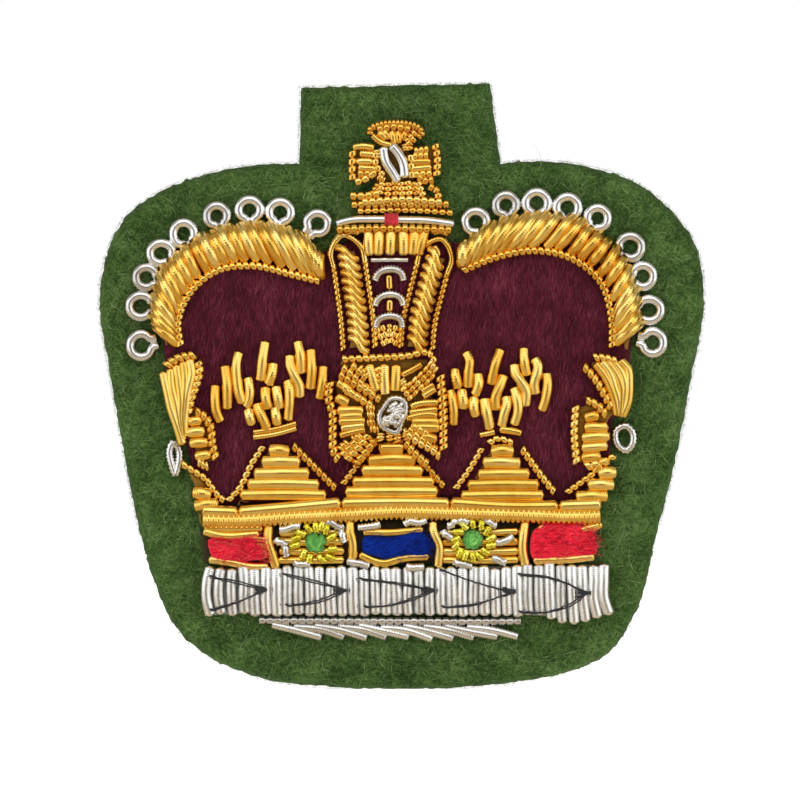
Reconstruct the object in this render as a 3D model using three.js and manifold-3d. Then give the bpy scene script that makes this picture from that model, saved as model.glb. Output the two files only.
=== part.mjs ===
// An embroidered bullion cap badge: a crown in gold and silver purl on a green felt backing.
//
// The badge stands upright as it is worn: X to the right, Z up, and its front faces -Y.
// The origin is the middle of the flat back face. Lengths are in millimetres.
//
// The design is drawn on squared paper. A plan point [x, z] counts squares of that drawing
// from its centre, so the whole design follows the badge's width and height. The thickness
// of a layer, the diameter of a purl and every clearance are plain millimetres.

import * as THREE from "three";
import { mergeVertices } from "three/addons/utils/BufferGeometryUtils.js";
import Module from "manifold-3d";

const wasm = await Module();
wasm.setup();

// ---- Driving dimensions ------------------------------------------------------------------

const badge = { width: 50.2, height: 50.3 };
const drawing = { across: 50.2, up: 50.3 }; // squares that the felt outline spans

const lining = { thickness: 0.4, margin: 2.2 };
const felt = { thickness: 1.6, edge: 0.25 };
const cloth = { thickness: 0.5, inset: 0.35 };

const clearance = 0.1; // between neighbouring pieces
const cord = { radius: 0.34 }; // the beaded gold edging
const band = { radius: 0.33 }; // the silver band round the orb
const arch = { rise: 1.7, wall: 0.5 };
const rib = { width: 2.6, rise: 1.4 };
const column = { radius: 0.33 };
const orb = { rise: 1.2 };
const cross = { rise: 1.3, gemLong: 1.6, gemWide: 1.05, gemRise: 1 };
const topCross = { rise: 1.3, gemLong: 1.5, gemWide: 0.85, gemWire: 0.32 };
const sideCross = { rise: 1, pearlWire: 0.3 };
const spray = { rise: 0.9, collar: 0.28 }; // collar is a radius
const point = { rise: 1.2 };
const pearl = { wire: 0.37, spacing: 0.08 }; // wire is a radius, spacing is between pearls
const circlet = { rowRise: 1.9, bandRise: 1.1, ermineRise: 1.7, fringeRise: 0.8 };
const jewel = { rise: 0.8, margin: 0.45, knot: 0.95 }; // knot is a radius

const feltBack = lining.thickness;
const feltFront = feltBack + felt.thickness;
const clothFront = feltFront + cloth.thickness;

const squareWide = badge.width / drawing.across;
const squareHigh = badge.height / drawing.up;

// ---- Materials ---------------------------------------------------------------------------

function finish(color, roughness, metalness) {
  return () => new THREE.MeshStandardMaterial({ color, roughness, metalness });
}

const finishes = {
  lining: finish(0x1c1b1a, 0.9, 0),
  felt: finish(0x2f5a20, 0.95, 0),
  cloth: finish(0x4a1522, 0.9, 0),
  padding: finish(0xc9a24a, 0.95, 0),
  smoothGold: finish(0xd9a536, 0.3, 1),
  roughGold: finish(0xc8922c, 0.4, 1),
  silver: finish(0xdedede, 0.3, 1),
  ermine: finish(0xe4e1dc, 0.4, 0.8),
  red: finish(0xb81430, 0.9, 0),
  blue: finish(0x07197c, 0.8, 0),
  green: finish(0x3aa24c, 0.6, 0),
};

// ---- Plan geometry -----------------------------------------------------------------------

const plan = ([x, z]) => new THREE.Vector2(x * squareWide, z * squareHigh);
const place = (point2, height) => new THREE.Vector3(point2.x, -height, point2.y);
const flat = (point2) => new THREE.Vector3(point2.x, 0, point2.y);

// A smooth line through plan points, held in the plane of the drawing.
function line(points) {
  return new THREE.CatmullRomCurve3(points.map(plan).map(flat), false, "centripetal");
}

// Points at even steps along a line, each moved sideways; a positive move is to the left.
function walk(curve, steps, sideways = 0) {
  const points = [];
  for (let i = 0; i <= steps; i += 1) {
    const here = curve.getPointAt(i / steps);
    const ahead = curve.getTangentAt(i / steps);
    points.push(new THREE.Vector2(here.x - ahead.z * sideways, here.z + ahead.x * sideways));
  }
  return points;
}

// ---- Solids ------------------------------------------------------------------------------

function toManifold(geometry) {
  const bare = geometry.clone();
  bare.deleteAttribute("normal");
  bare.deleteAttribute("uv");
  const merged = mergeVertices(bare, 1e-4);
  return new wasm.Manifold(new wasm.Mesh({
    numProp: 3,
    vertProperties: merged.attributes.position.array,
    triVerts: new Uint32Array(merged.index.array),
  }));
}

function fromManifold(solid) {
  const mesh = solid.getMesh();
  const geometry = new THREE.BufferGeometry();
  geometry.setAttribute("position", new THREE.BufferAttribute(mesh.vertProperties, 3));
  geometry.setIndex(new THREE.BufferAttribute(mesh.triVerts, 1));
  return geometry;
}

function joined(geometries) {
  const solids = geometries.map(toManifold);
  return fromManifold(solids.reduce((sum, solid) => sum.add(solid)));
}

function cutBy(geometry, tools) {
  const solid = tools.map(toManifold).reduce((sum, tool) => sum.subtract(tool), toManifold(geometry));
  return fromManifold(solid);
}

// A flat layer with a small rounded edge: an extrusion turned to grow towards the front.
function layer(outline, back, front, edge) {
  const geometry = new THREE.ExtrudeGeometry(new THREE.Shape(outline), {
    depth: front - back - 2 * edge,
    bevelEnabled: edge > 0,
    bevelThickness: edge,
    bevelSize: edge,
    bevelOffset: -edge,
    bevelSegments: 1,
  });
  geometry.rotateX(Math.PI / 2);
  geometry.translate(0, -back - edge, 0);
  return geometry;
}

// An outline with every corner moved inwards by `distance`. It runs counter-clockwise.
function drawnIn(outline, distance) {
  return outline.map((corner, i) => {
    const arrive = corner.clone().sub(outline.at(i - 1)).normalize();
    const leave = outline[(i + 1) % outline.length].clone().sub(corner).normalize();
    const inward = new THREE.Vector2(-arrive.y - leave.y, arrive.x + leave.x).normalize();
    const stretch = Math.min(1 / inward.dot(new THREE.Vector2(-arrive.y, arrive.x)), 1.6);
    return corner.clone().addScaledVector(inward, distance * stretch);
  });
}

// A padded shape that rests at height `base` and is rounded over towards the front.
const moundSteps = [[0, 0], [0, 0.55], [0.35, 0.88], [1, 1]]; // shares of the round and the rise

function mound(outline, base, rise, round) {
  const around = THREE.ShapeUtils.isClockWise(outline) ? [...outline].reverse() : outline;
  const rings = moundSteps.map(([inwards, upwards]) => (
    drawnIn(around, inwards * round).map((p) => place(p, base + upwards * rise))
  ));
  return loft(rings, [around, around]);
}

// A round purl along a line of space points.
function purl(points, radius, steps, sides = 8) {
  const section = new THREE.Shape();
  for (let i = 0; i < sides; i += 1) {
    const turn = ((i + 0.5) / sides) * 2 * Math.PI;
    const corner = [radius * Math.cos(turn), radius * Math.sin(turn)];
    if (i === 0) section.moveTo(...corner);
    else section.lineTo(...corner);
  }
  section.closePath();
  const extrudePath = new THREE.CatmullRomCurve3(points, false, "centripetal");
  return new THREE.ExtrudeGeometry(section, { steps, extrudePath });
}

// A round purl that lies on the surface at height `base`.
function laidPurl(points2, base, radius, steps, sides) {
  return purl(points2.map((p) => place(p, base + radius)), radius, steps, sides);
}

// A solid through rings of equal length, closed at both ends. `sections` are the rings as
// plane outlines, first to last.
function loft(rings, sections) {
  const around = rings[0].length;
  const positions = rings.flat().flatMap((p) => p.toArray());
  const index = [];
  for (let i = 0; i + 1 < rings.length; i += 1) {
    for (let j = 0; j < around; j += 1) {
      const a = i * around + j;
      const b = i * around + ((j + 1) % around);
      index.push(a, b, b + around, a, b + around, a + around);
    }
  }
  const closeEnd = (section, start, turned) => {
    for (const [a, b, c] of THREE.ShapeUtils.triangulateShape(section, [])) {
      const corners = turned ? [a, c, b] : [a, b, c];
      index.push(...corners.map((corner) => start + corner));
    }
  };
  const turned = !THREE.ShapeUtils.isClockWise(sections[0]);
  closeEnd(sections[0], 0, turned);
  closeEnd(sections.at(-1), (rings.length - 1) * around, !turned);
  const geometry = new THREE.BufferGeometry();
  geometry.setAttribute("position", new THREE.Float32BufferAttribute(positions, 3));
  geometry.setIndex(index);
  return geometry;
}

// A strip of embroidery between two rails. `section(width)` gives its cross-section as
// [distance from the left rail, height above the base], up on the left and down on the right.
function strip(leftRail, rightRail, base, section) {
  const sections = [];
  const rings = leftRail.map((left, i) => {
    const right = rightRail[i];
    const across = right.clone().sub(left);
    const width = across.length();
    const points = section(width);
    sections.push(points.map(([s, h]) => new THREE.Vector2(s, h)));
    return points.map(([s, h]) => place(left.clone().addScaledVector(across, s / width), base + h));
  });
  return loft(rings, sections);
}

// The top of a rounded cross-section, drawn in from both rails by `inset`.
function domeTop(width, rise, inset, facets = 6) {
  const points = [];
  for (let i = 0; i <= facets; i += 1) {
    const share = i / facets;
    const height = Math.sin(Math.PI * share) ** 0.6 * (rise - inset);
    points.push([inset + share * (width - 2 * inset), i === 0 || i === facets ? 0 : height]);
  }
  return points;
}

// A rounded cross-section, solid, or hollow underneath to go over a padding core.
function domeSection(rise, wall = 0) {
  return (width) => {
    const outer = domeTop(width, rise, 0);
    return wall > 0 ? [...outer, ...domeTop(width, rise, wall).reverse()] : outer;
  };
}

// A cross-section with one rounded lobe for each row of purl laid side by side.
function rowSection(rise, rows) {
  return (width) => {
    const lobe = width / rows;
    const section = [[0, 0], [0, rise * 0.55]];
    for (let i = 0; i < rows; i += 1) {
      if (i > 0) section.push([i * lobe, rise * 0.8]);
      section.push([(i + 0.25) * lobe, rise], [(i + 0.75) * lobe, rise]);
    }
    return [...section, [width, rise * 0.55], [width, 0]];
  };
}

// A domed button with a flat bottom, `steps` of [share of the radius, share of the rise].
function button(radius, rise, steps, sides) {
  const profile = [[0, 0], ...steps, [0, 1]].map(([r, h]) => new THREE.Vector2(r * radius, h * rise));
  const geometry = new THREE.LatheGeometry(profile, sides);
  geometry.rotateX(Math.PI);
  return geometry;
}

const domeSteps = [[1, 0], [0.94, 0.45], [0.7, 0.85], [0.35, 0.98]];

// ---- The badge ---------------------------------------------------------------------------

const badgeGroup = new THREE.Group();
badgeGroup.name = "cap_badge";

function add(name, geometry, material, position = new THREE.Vector3()) {
  const mesh = new THREE.Mesh(geometry, material());
  mesh.name = name;
  mesh.position.copy(position);
  badgeGroup.add(mesh);
}

// ---- Backing: felt with its sewing tab, and the lining glued over the stitches ------------

const tab = { left: -8.5, leftTop: 24.8, rightTop: 7.5, right: 8.2, top: 25.15, foot: 18.6 };

const feltRound = new THREE.SplineCurve([
  [tab.right, tab.foot], [14, 18.5], [20, 16.6], [24.3, 12], [25.1, 6.5], [24.2, 1.5],
  [22.9, -5.5], [21, -13], [19.6, -18.5], [16.2, -22.9], [8, -24.8], [-3, -25.15],
  [-12, -24.2], [-18, -21], [-20.8, -15.5], [-22.5, -8.5], [-24.3, 1.5], [-25.1, 7.5],
  [-23.6, 13.1], [-20, 16.2], [-14.5, 18], [tab.left, tab.foot],
].map(plan));

const feltOutline = [
  ...feltRound.getPoints(66),
  plan([tab.left, tab.leftTop]),
  plan([tab.rightTop, tab.top]),
];

function addBacking() {
  const share = (length) => 1 - (2 * lining.margin) / length;
  const inner = feltRound.getPoints(44).map((p) => new THREE.Vector2(
    p.x * share(badge.width),
    p.y * share(badge.height),
  ));
  add("back_lining", layer(inner, 0, feltBack, 0), finishes.lining);
  add("backing_felt", layer(feltOutline, feltBack, feltFront, felt.edge), finishes.felt);
}

// ---- Arches: padding, satin-laid purl, beaded edge and their pearls -----------------------

// Each edge cord runs up the inside of its arch from the side to the middle.
const arches = {
  left: {
    side: 1,
    cordLine: line([
      [-18.3, 3.2], [-18.5, 5.2], [-17.6, 7.6], [-15.2, 9.5], [-12.2, 9.95], [-9, 9.2], [-6.7, 8.6],
    ]),
    outerLine: line([
      [-20, 2.9], [-20.6, 6.3], [-19.4, 10], [-16.4, 12.4], [-12.3, 13.4], [-8.9, 12.7], [-6.7, 11.2],
    ]),
    pearls: [0.035, 0.17, 0.27, 0.363, 0.462, 0.592, 0.7, 0.8, 0.93],
  },
  right: {
    side: -1,
    cordLine: line([
      [17.4, 3.2], [17.4, 5.5], [16.5, 8.6], [13.8, 10.7], [11.1, 11.2], [7.6, 10.6], [4.95, 9.5],
    ]),
    outerLine: line([
      [19.3, 2.9], [19.7, 5.6], [18.8, 9.6], [16, 12.9], [11.6, 14.2], [7.8, 13.4], [4.95, 12],
    ]),
    pearls: [0.04, 0.145, 0.255, 0.365, 0.5, 0.602, 0.702, 0.805, 0.92],
  },
};

const archStations = 22;
for (const form of Object.values(arches)) {
  const lift = form.side * (cord.radius + clearance);
  form.outer = walk(form.outerLine, archStations);
  form.inner = walk(form.cordLine, archStations, lift);
}

// The padding core is the hollow of its cover, drawn in by one clearance on every side.
function addArch(name, form) {
  const rails = form.side > 0 ? [form.outer, form.inner] : [form.inner, form.outer];
  const core = (width) => domeTop(width, arch.rise, arch.wall + clearance);
  add(`arch_padding_${name}`, strip(...rails, clothFront, core), finishes.padding);
  const cover = strip(...rails, clothFront, domeSection(arch.rise, arch.wall));
  add(`arch_purl_${name}`, cover, finishes.smoothGold);
  const cordPoints = walk(form.cordLine, 12);
  add(`arch_edge_${name}`, laidPurl(cordPoints, clothFront, cord.radius, 26), finishes.roughGold);
}

// A pearl is a loop of silver purl that stands against the outside of its arch. All the
// pearls have one size, the largest that leaves the spacing between the closest two.
function pearlCentres(form, outerRadius) {
  const away = outerRadius + clearance;
  return form.pearls.map((share) => {
    const here = form.outerLine.getPointAt(share);
    const ahead = form.outerLine.getTangentAt(share);
    const out = form.side * away;
    return new THREE.Vector2(here.x - ahead.z * out, here.z + ahead.x * out);
  });
}

function closestPair(centres) {
  const gaps = centres.slice(1).map((centre, i) => centre.distanceTo(centres[i]));
  return Math.min(...gaps);
}

function pearlRadius() {
  let radius = 1.2 * squareWide;
  for (let round = 0; round < 8; round += 1) {
    const closest = Object.values(arches).map((form) => closestPair(pearlCentres(form, radius)));
    radius = (Math.min(...closest) - pearl.spacing) / 2;
  }
  return radius;
}

function addPearls(name, form, outerRadius) {
  pearlCentres(form, outerRadius).forEach((centre, i) => {
    const loop = new THREE.TorusGeometry(outerRadius - pearl.wire, pearl.wire, 6, 14);
    loop.rotateX(Math.PI / 2);
    const position = place(centre, feltFront + pearl.wire);
    add(`pearl_loop_${name}_${i + 1}`, loop, finishes.silver, position);
  });
}

// ---- The circlet's rails, from the foot of the points down to the fringe ------------------

const rails = {
  top: line([[-17.1, -10.15], [-10, -9.75], [0, -9.35], [9, -9.55], [16.4, -9.7]]),
  rows: line([[-16.8, -11.85], [-10, -11.35], [0, -11], [9, -11.1], [16.5, -11.4]]),
  jewels: line([[-16.5, -14.8], [-8, -14.9], [0, -14.85], [8, -14.6], [16, -14.6]]),
  ermine: line([[-16.2, -19.15], [-8, -19.1], [0, -19.1], [9, -19.15], [15.8, -19.6]]),
  fringeTop: line([[-11.9, -19.1], [-5, -19.1], [0, -19.1], [5, -19.1], [9.6, -19.2]]),
  fringe: line([[-10.9, -20.3], [-4, -21], [0, -20.8], [5, -20.7], [9.2, -20.2]]),
};

// The height on the drawing of a rail at plan position x, in millimetres.
function railAt(rail, x) {
  const points = walk(rail, 60);
  const next = points.findIndex((p) => p.x >= x);
  const [a, b] = next <= 0 ? points.slice(0, 2) : points.slice(next - 1, next + 1);
  return a.y + ((b.y - a.y) * (x - a.x)) / (b.x - a.x);
}

// Points along the top rail between two plan positions, one clearance above it.
function alongTop(fromX, toX, steps = 4) {
  const points = [];
  for (let i = 0; i <= steps; i += 1) {
    const x = (fromX + ((toX - fromX) * i) / steps) * squareWide;
    points.push(new THREE.Vector2(x, railAt(rails.top, x) + clearance));
  }
  return points;
}

// ---- Crown cloth: it ends under the arches and just above the circlet ---------------------

function addCloth() {
  const inset = cloth.inset;
  const middle = [plan([-2.5, 12.9]), plan([1, 12.9])];
  const rightSide = [[19, 1.2], [18.2, -1.5], [17.4, -3], [17.3, -5.4], [16.9, -8.2]].map(plan);
  const leftSide = [[-17, -8.4], [-17.8, -5], [-19.1, -1.6], [-19.6, 1.2]].map(plan);
  const outline = [
    ...walk(arches.left.outerLine, 18, -inset),
    ...middle,
    ...walk(arches.right.outerLine, 18, inset).reverse(),
    ...rightSide,
    ...alongTop(16.2, -16.8, 12),
    ...leftSide,
  ];
  add("cap_cloth", layer(outline, feltFront, clothFront, 0), finishes.cloth);
}

// ---- Ribs: a beaded border with a twisted purl filling ------------------------------------

const crossTop = 2.75; // where the front cross ends and the ribs begin, in squares

const ribs = {
  left: line([[-3.5, crossTop + 0.25], [-3.65, 5.2], [-4, 8], [-4.3, 9.9], [-4.6, 11.2]]),
  right: line([[1.25, crossTop + 0.25], [1.45, 5.2], [2.1, 8], [2.5, 9.5], [2.9, 10.9]]),
};

const borderSteps = 44;

// The border goes up one side of the rib, round its head and down the other side.
function borderLine(ribLine) {
  const half = rib.width / 2;
  const up = walk(ribLine, 9, half);
  const down = walk(ribLine, 9, -half).reverse();
  const head = ribLine.getPointAt(1);
  const ahead = ribLine.getTangentAt(1);
  const tip = new THREE.Vector2(head.x + ahead.x * half, head.z + ahead.z * half);
  return [...up, tip, ...down];
}

const borders = { left: borderLine(ribs.left), right: borderLine(ribs.right) };

// What the two borders take from a neighbour: the cord and one clearance around it.
function roomForBorders() {
  return Object.values(borders).map((border) => {
    const middle = border.map((p) => place(p, clothFront + cord.radius));
    return purl(middle, cord.radius + clearance, borderSteps, 8);
  });
}

function addRib(name) {
  const half = rib.width / 2 - cord.radius - clearance;
  const lines = [walk(ribs[name], 12, half), walk(ribs[name], 12, -half)];
  add(`rib_purl_${name}`, strip(...lines, clothFront, domeSection(rib.rise)), finishes.roughGold);
  const border = laidPurl(borders[name], clothFront, cord.radius, borderSteps);
  add(`rib_border_${name}`, border, finishes.roughGold);
}

// ---- Column between the ribs: silver crescents strung on a gold stem ----------------------

// Where an upright line is at height z on the drawing, in millimetres.
function acrossAt(upright, z) {
  const points = walk(upright, 60);
  const next = points.findIndex((p) => p.y >= z);
  const [a, b] = points.slice(next - 1, next + 1);
  return a.x + ((b.x - a.x) * (z - a.y)) / (b.y - a.y);
}

// The middle between the ribs, and how far a purl's centre may go to either side of it.
function columnGap(z) {
  const left = acrossAt(ribs.left, z);
  const right = acrossAt(ribs.right, z);
  const taken = rib.width / 2 + cord.radius + clearance + column.radius;
  return { middle: (left + right) / 2, half: (right - left) / 2 - taken };
}

function addColumn() {
  const rod = (points2) => laidPurl(points2, clothFront, column.radius, 5, 6);
  const crescent = (apex) => {
    const { middle, half } = columnGap(apex * squareHigh);
    const bow = [[-1, -0.75], [-0.65, -0.2], [0, 0], [0.65, -0.2], [1, -0.75]];
    return rod(bow.map(([x, z]) => new THREE.Vector2(middle + x * half, (apex + z) * squareHigh)));
  };
  const pieces = [
    rod([[-2.2, 10.3], [-1, 10.35], [0.4, 10.3]].map(plan)),
    rod([[-0.95, 10.5], [-0.95, 7], [-0.95, 3.4]].map(plan)),
    crescent(9.6),
    crescent(7.5),
    crescent(5.8),
  ];
  add("column_pearls", cutBy(joined(pieces), roomForBorders()), finishes.silver);
}

// ---- Orb, its silver band and the top cross -----------------------------------------------

const bandLine = [[-5.5, 13.75], [-2.5, 13.95], [0, 13.9], [4.2, 13.65]];
const orbTop = 13.25; // squares

function addOrb() {
  const outline = [
    [-5.2, orbTop], [-5.3, 12.85], [-3.6, 12.8], [-2.75, 10.9], [0.8, 10.85], [1.9, 12.7],
    [4.1, 12.75], [4.2, orbTop - 0.1],
  ].map(plan);
  const solid = mound(outline, clothFront, orb.rise, 0.3);
  add("orb_purl", cutBy(solid, roomForBorders()), finishes.smoothGold);
  const ring = laidPurl(bandLine.map(plan), clothFront, band.radius, 8, 8);
  add("orb_band", ring, finishes.silver);
}

// An oval loop of silver purl, upright and then turned in the plane of the drawing.
function ovalLoop(long, wide, wire, turn) {
  const ring = 2;
  const loop = new THREE.TorusGeometry(ring, 1, 6, 16);
  const position = loop.attributes.position;
  for (let i = 0; i < position.count; i += 1) {
    const v = new THREE.Vector3().fromBufferAttribute(position, i);
    const around = Math.atan2(v.y, v.x);
    const out = Math.hypot(v.x, v.y) - ring;
    const x = (wide - wire + out * wire) * Math.cos(around);
    const z = (long - wire + out * wire) * Math.sin(around);
    position.setXYZ(i, x, z, v.z * wire);
  }
  loop.rotateZ(turn);
  loop.rotateX(Math.PI / 2);
  return loop;
}

function addTopCross() {
  const foot = 14.6;
  const outline = [
    [0.5, 19.8], [1.8, 21.3], [1.2, 22.1], [-0.6, 22.3], [-2.3, 22], [-2.8, 21.2], [-1.5, 19.9],
    [-2.1, 19.6], [-3.2, 20], [-4.1, 19.9], [-4.4, 18.4], [-4.2, 17.2], [-3.6, 16.7],
    [-2.2, 17.4], [-2.4, 16.6], [-4.4, 15.3], [-5.2, foot], [4.1, foot], [3.3, 15.8],
    [2.1, 16.4], [1.2, 17.2], [2.4, 16.9], [3.2, 17.4], [3.1, 20.2], [2.4, 20.3], [0.9, 19.4],
  ].map(plan);
  add("top_cross", mound(outline, feltFront, topCross.rise, 0.28), finishes.roughGold);
  const gem = ovalLoop(topCross.gemLong, topCross.gemWide, topCross.gemWire, 0.3);
  const position = place(plan([-0.75, 18.4]), feltFront + topCross.rise + topCross.gemWire);
  add("top_cross_gem", gem, finishes.silver, position);
}

// ---- Sprays between the front cross and the side crosses ----------------------------------

const sprays = {
  left: {
    leaf: [
      [-9.5, -3], [-11.2, -3.5], [-12.4, -3.1], [-13.2, -1.7], [-14, -1.9], [-15, -3],
      [-15.8, -1.2], [-15.7, 0.2], [-14.9, 1.7], [-14.1, 1.7], [-13.9, 2.8], [-13.2, 2.8],
      [-12.9, 0.8], [-12.2, 0.5], [-11.8, 3.6], [-11.1, 3.7], [-10.4, 1.8], [-9.9, 0.5],
      [-9.5, 2.6], [-8.8, 3.7], [-8.2, 3.6], [-7.1, 3], [-6.2, 1.6], [-6.6, -1.2],
      [-7.2, -0.9], [-8.1, -0.9], [-9, -1.2],
    ],
    collar: [[-12.2, -4.15], [-10.5, -3.85], [-8.7, -3.45]],
  },
  right: {
    leaf: [
      [9.7, -3.2], [7, -3.4], [6.3, -2.5], [5, -1.9], [4.6, -3.2], [4, -3.1], [4.1, 1.3],
      [4.9, 1.3], [5.2, 2.8], [5.8, 2.4], [6, 1.1], [6.7, 1], [7.1, 0.4], [7.9, 3.1], [8.5, 3],
      [8.8, 0.9], [9.1, 1.8], [9.8, 3.1], [10.4, 3.1], [11.4, 2], [12.3, 1], [12.4, -0.4],
      [11.9, -2.1], [11.3, -1.9], [10.9, -0.6], [10.5, -1.2], [10, -1.8],
    ],
    collar: [[6.5, -4.1], [8.2, -3.85], [10, -3.95]],
  },
};

function addSpray(name, { leaf, collar }) {
  add(`spray_${name}`, mound(leaf.map(plan), clothFront, spray.rise, 0.15), finishes.smoothGold);
  const tie = laidPurl(collar.map(plan), clothFront, spray.collar, 6, 8);
  add(`spray_collar_${name}`, tie, finishes.roughGold);
}

// ---- Points of the circlet ----------------------------------------------------------------

const points = {
  far_left: { from: -17, to: -15.2, top: [[-16.1, -7.7], [-18, -6.4], [-17.5, -8.2]] },
  left: { from: -14, to: -6.2, top: [[-9.5, -4.55], [-11, -4.75]] },
  centre: { from: -4.7, to: 3.2, top: [[0.2, -5], [-1.7, -5]] },
  right: { from: 4.7, to: 11.9, top: [[9.2, -4.75], [7.4, -4.75]] },
  far_right: { from: 13.9, to: 16.3, top: [[17.7, -6.7], [16.4, -6.95]] },
};

function addPoint(name, { from, to, top }) {
  const outline = [...alongTop(from, to), ...top.map(plan)];
  add(`point_${name}`, mound(outline, clothFront, point.rise, 0.4), finishes.smoothGold);
}

// ---- Front and side crosses ---------------------------------------------------------------

function addCrosses() {
  const front = [
    [-5, crossTop], [2.5, crossTop], [1.8, 0.6], [3, 1.2], [3.7, -5.6], [2.6, -5.5],
    [0.6, -4.7], [-2, -4.7], [-3.6, -6.4], [-5.2, -6.1], [-6.1, 0.5], [-4.6, -0.1], [-5.7, 1.8],
  ].map(plan);
  add("front_cross", mound(front, clothFront, cross.rise, 0.3), finishes.roughGold);
  const gem = button(1, cross.gemRise, domeSteps, 16);
  gem.scale(cross.gemWide, 1, cross.gemLong);
  gem.rotateY(0.3);
  const position = place(plan([-0.75, -2.35]), clothFront + cross.rise);
  add("front_cross_gem", gem, finishes.silver, position);

  const left = [
    [-19.9, 1.3], [-18.4, 2.2], [-16.9, 2.6], [-16.5, 1.1], [-17.3, -1], [-15.9, -2.6],
    [-15.1, -5], [-15.2, -6.3], [-16.2, -6.7], [-17.3, -5.6], [-18.1, -4.4], [-18.9, -3.4],
    [-19.8, -0.4],
  ].map(plan);
  add("side_cross_left", mound(left, clothFront, sideCross.rise, 0.3), finishes.roughGold);
  const right = [
    [19.1, 1.2], [17.6, 2.5], [15.2, 2], [17, -1.2], [15.3, -1.2], [14.1, -1.8],
    [14, -5.8], [14.8, -6.8], [16.6, -6], [17.2, -4], [17.5, -2.9], [18.3, -2.2], [19, -0.3],
  ].map(plan);
  add("side_cross_right", mound(right, clothFront, sideCross.rise, 0.3), finishes.roughGold);
}

function addSidePearls() {
  const height = feltFront + sideCross.pearlWire;
  const left = ovalLoop(1.4, 0.62, sideCross.pearlWire, 0.15);
  add("side_pearl_left", left, finishes.silver, place(plan([-18.95, -5.8]), height));
  const right = ovalLoop(1.15, 0.8, sideCross.pearlWire, 0);
  add("side_pearl_right", right, finishes.silver, place(plan([18.55, -4.2]), height));
}

// ---- Circlet: rows of purl, jewelled band, ermine and fringe ------------------------------

function addCirclet() {
  const steps = 14;
  const below = (rail) => walk(rail, steps, -clearance);
  const rows = rowSection(circlet.rowRise, 3);
  const rope = strip(walk(rails.top, steps), walk(rails.rows, steps), feltFront, rows);
  add("circlet_rope", rope, finishes.smoothGold);

  const slab = (width) => [[0, 0], [0, circlet.bandRise], [width, circlet.bandRise], [width, 0]];
  const jewelBand = strip(below(rails.rows), walk(rails.jewels, steps), feltFront, slab);
  add("jewel_band", jewelBand, finishes.smoothGold);

  const ermineRows = strip(
    below(rails.jewels),
    walk(rails.ermine, steps),
    feltFront,
    domeSection(circlet.ermineRise),
  );
  add("ermine_purl", ermineRows, finishes.ermine);

  const fringeRows = strip(
    walk(rails.fringeTop, steps, -2 * clearance),
    walk(rails.fringe, steps),
    feltFront,
    domeSection(circlet.fringeRise),
  );
  add("ermine_fringe", fringeRows, finishes.ermine);
}

// The middle of the jewel band at plan position x, and what it leaves on each side of it.
function bandMiddle(x) {
  const high = railAt(rails.rows, x * squareWide);
  const low = railAt(rails.jewels, x * squareWide);
  return { middle: (high + low) / 2, half: (high - low) / 2 - clearance };
}

function addBarStone(name, fromX, toX, material) {
  const corners = [fromX, toX].flatMap((x) => {
    const { middle, half } = bandMiddle(x);
    const reach = half - jewel.margin;
    return [[x * squareWide, middle - reach], [x * squareWide, middle + reach]];
  });
  const [a, b, c, d] = corners.map(([x, z]) => new THREE.Vector2(x, z));
  const stone = mound([a, c, d, b], feltFront + circlet.bandRise, jewel.rise * 0.6, 0.25);
  add(name, stone, material);
}

// A knot inside a low ring of chips that reaches both rails of the band.
function addKnotStone(name, x) {
  const { middle, half } = bandMiddle(x);
  const share = jewel.knot / half;
  const steps = [[1, 0], [1, 0.4], [share * 1.1, 0.5], [share * 0.9, 0.85], [share * 0.4, 0.98]];
  const stone = button(half, jewel.rise, steps, 16);
  const centre = new THREE.Vector2(x * squareWide, middle);
  add(name, stone, finishes.green, place(centre, feltFront + circlet.bandRise));
}

addBacking();
addCloth();
const outerRadius = pearlRadius();
for (const [name, form] of Object.entries(arches)) {
  addArch(name, form);
  addPearls(name, form, outerRadius);
}
Object.keys(ribs).forEach(addRib);
addColumn();
addOrb();
addTopCross();
Object.entries(sprays).forEach(([name, form]) => addSpray(name, form));
Object.entries(points).forEach(([name, form]) => addPoint(name, form));
addCrosses();
addSidePearls();
addCirclet();
addBarStone("ruby_left", -16, -11.8, finishes.red);
addBarStone("ruby_right", 10.9, 15.5, finishes.red);
addBarStone("sapphire", -3.2, 2.1, finishes.blue);
addKnotStone("emerald_left", -7.1);
addKnotStone("emerald_right", 5.8);

export default badgeGroup;
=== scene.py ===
"""The looks of an embroidered cap badge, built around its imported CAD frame.

Plan points are [x, z] in squares of the badge's drawing, as in the CAD source; heights are
millimetres above the flat back face, towards the viewer (-Y). Meshes are made in
millimetres and written in metres.
"""

import math

import bpy
import numpy as np
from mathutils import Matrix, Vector, noise


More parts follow.
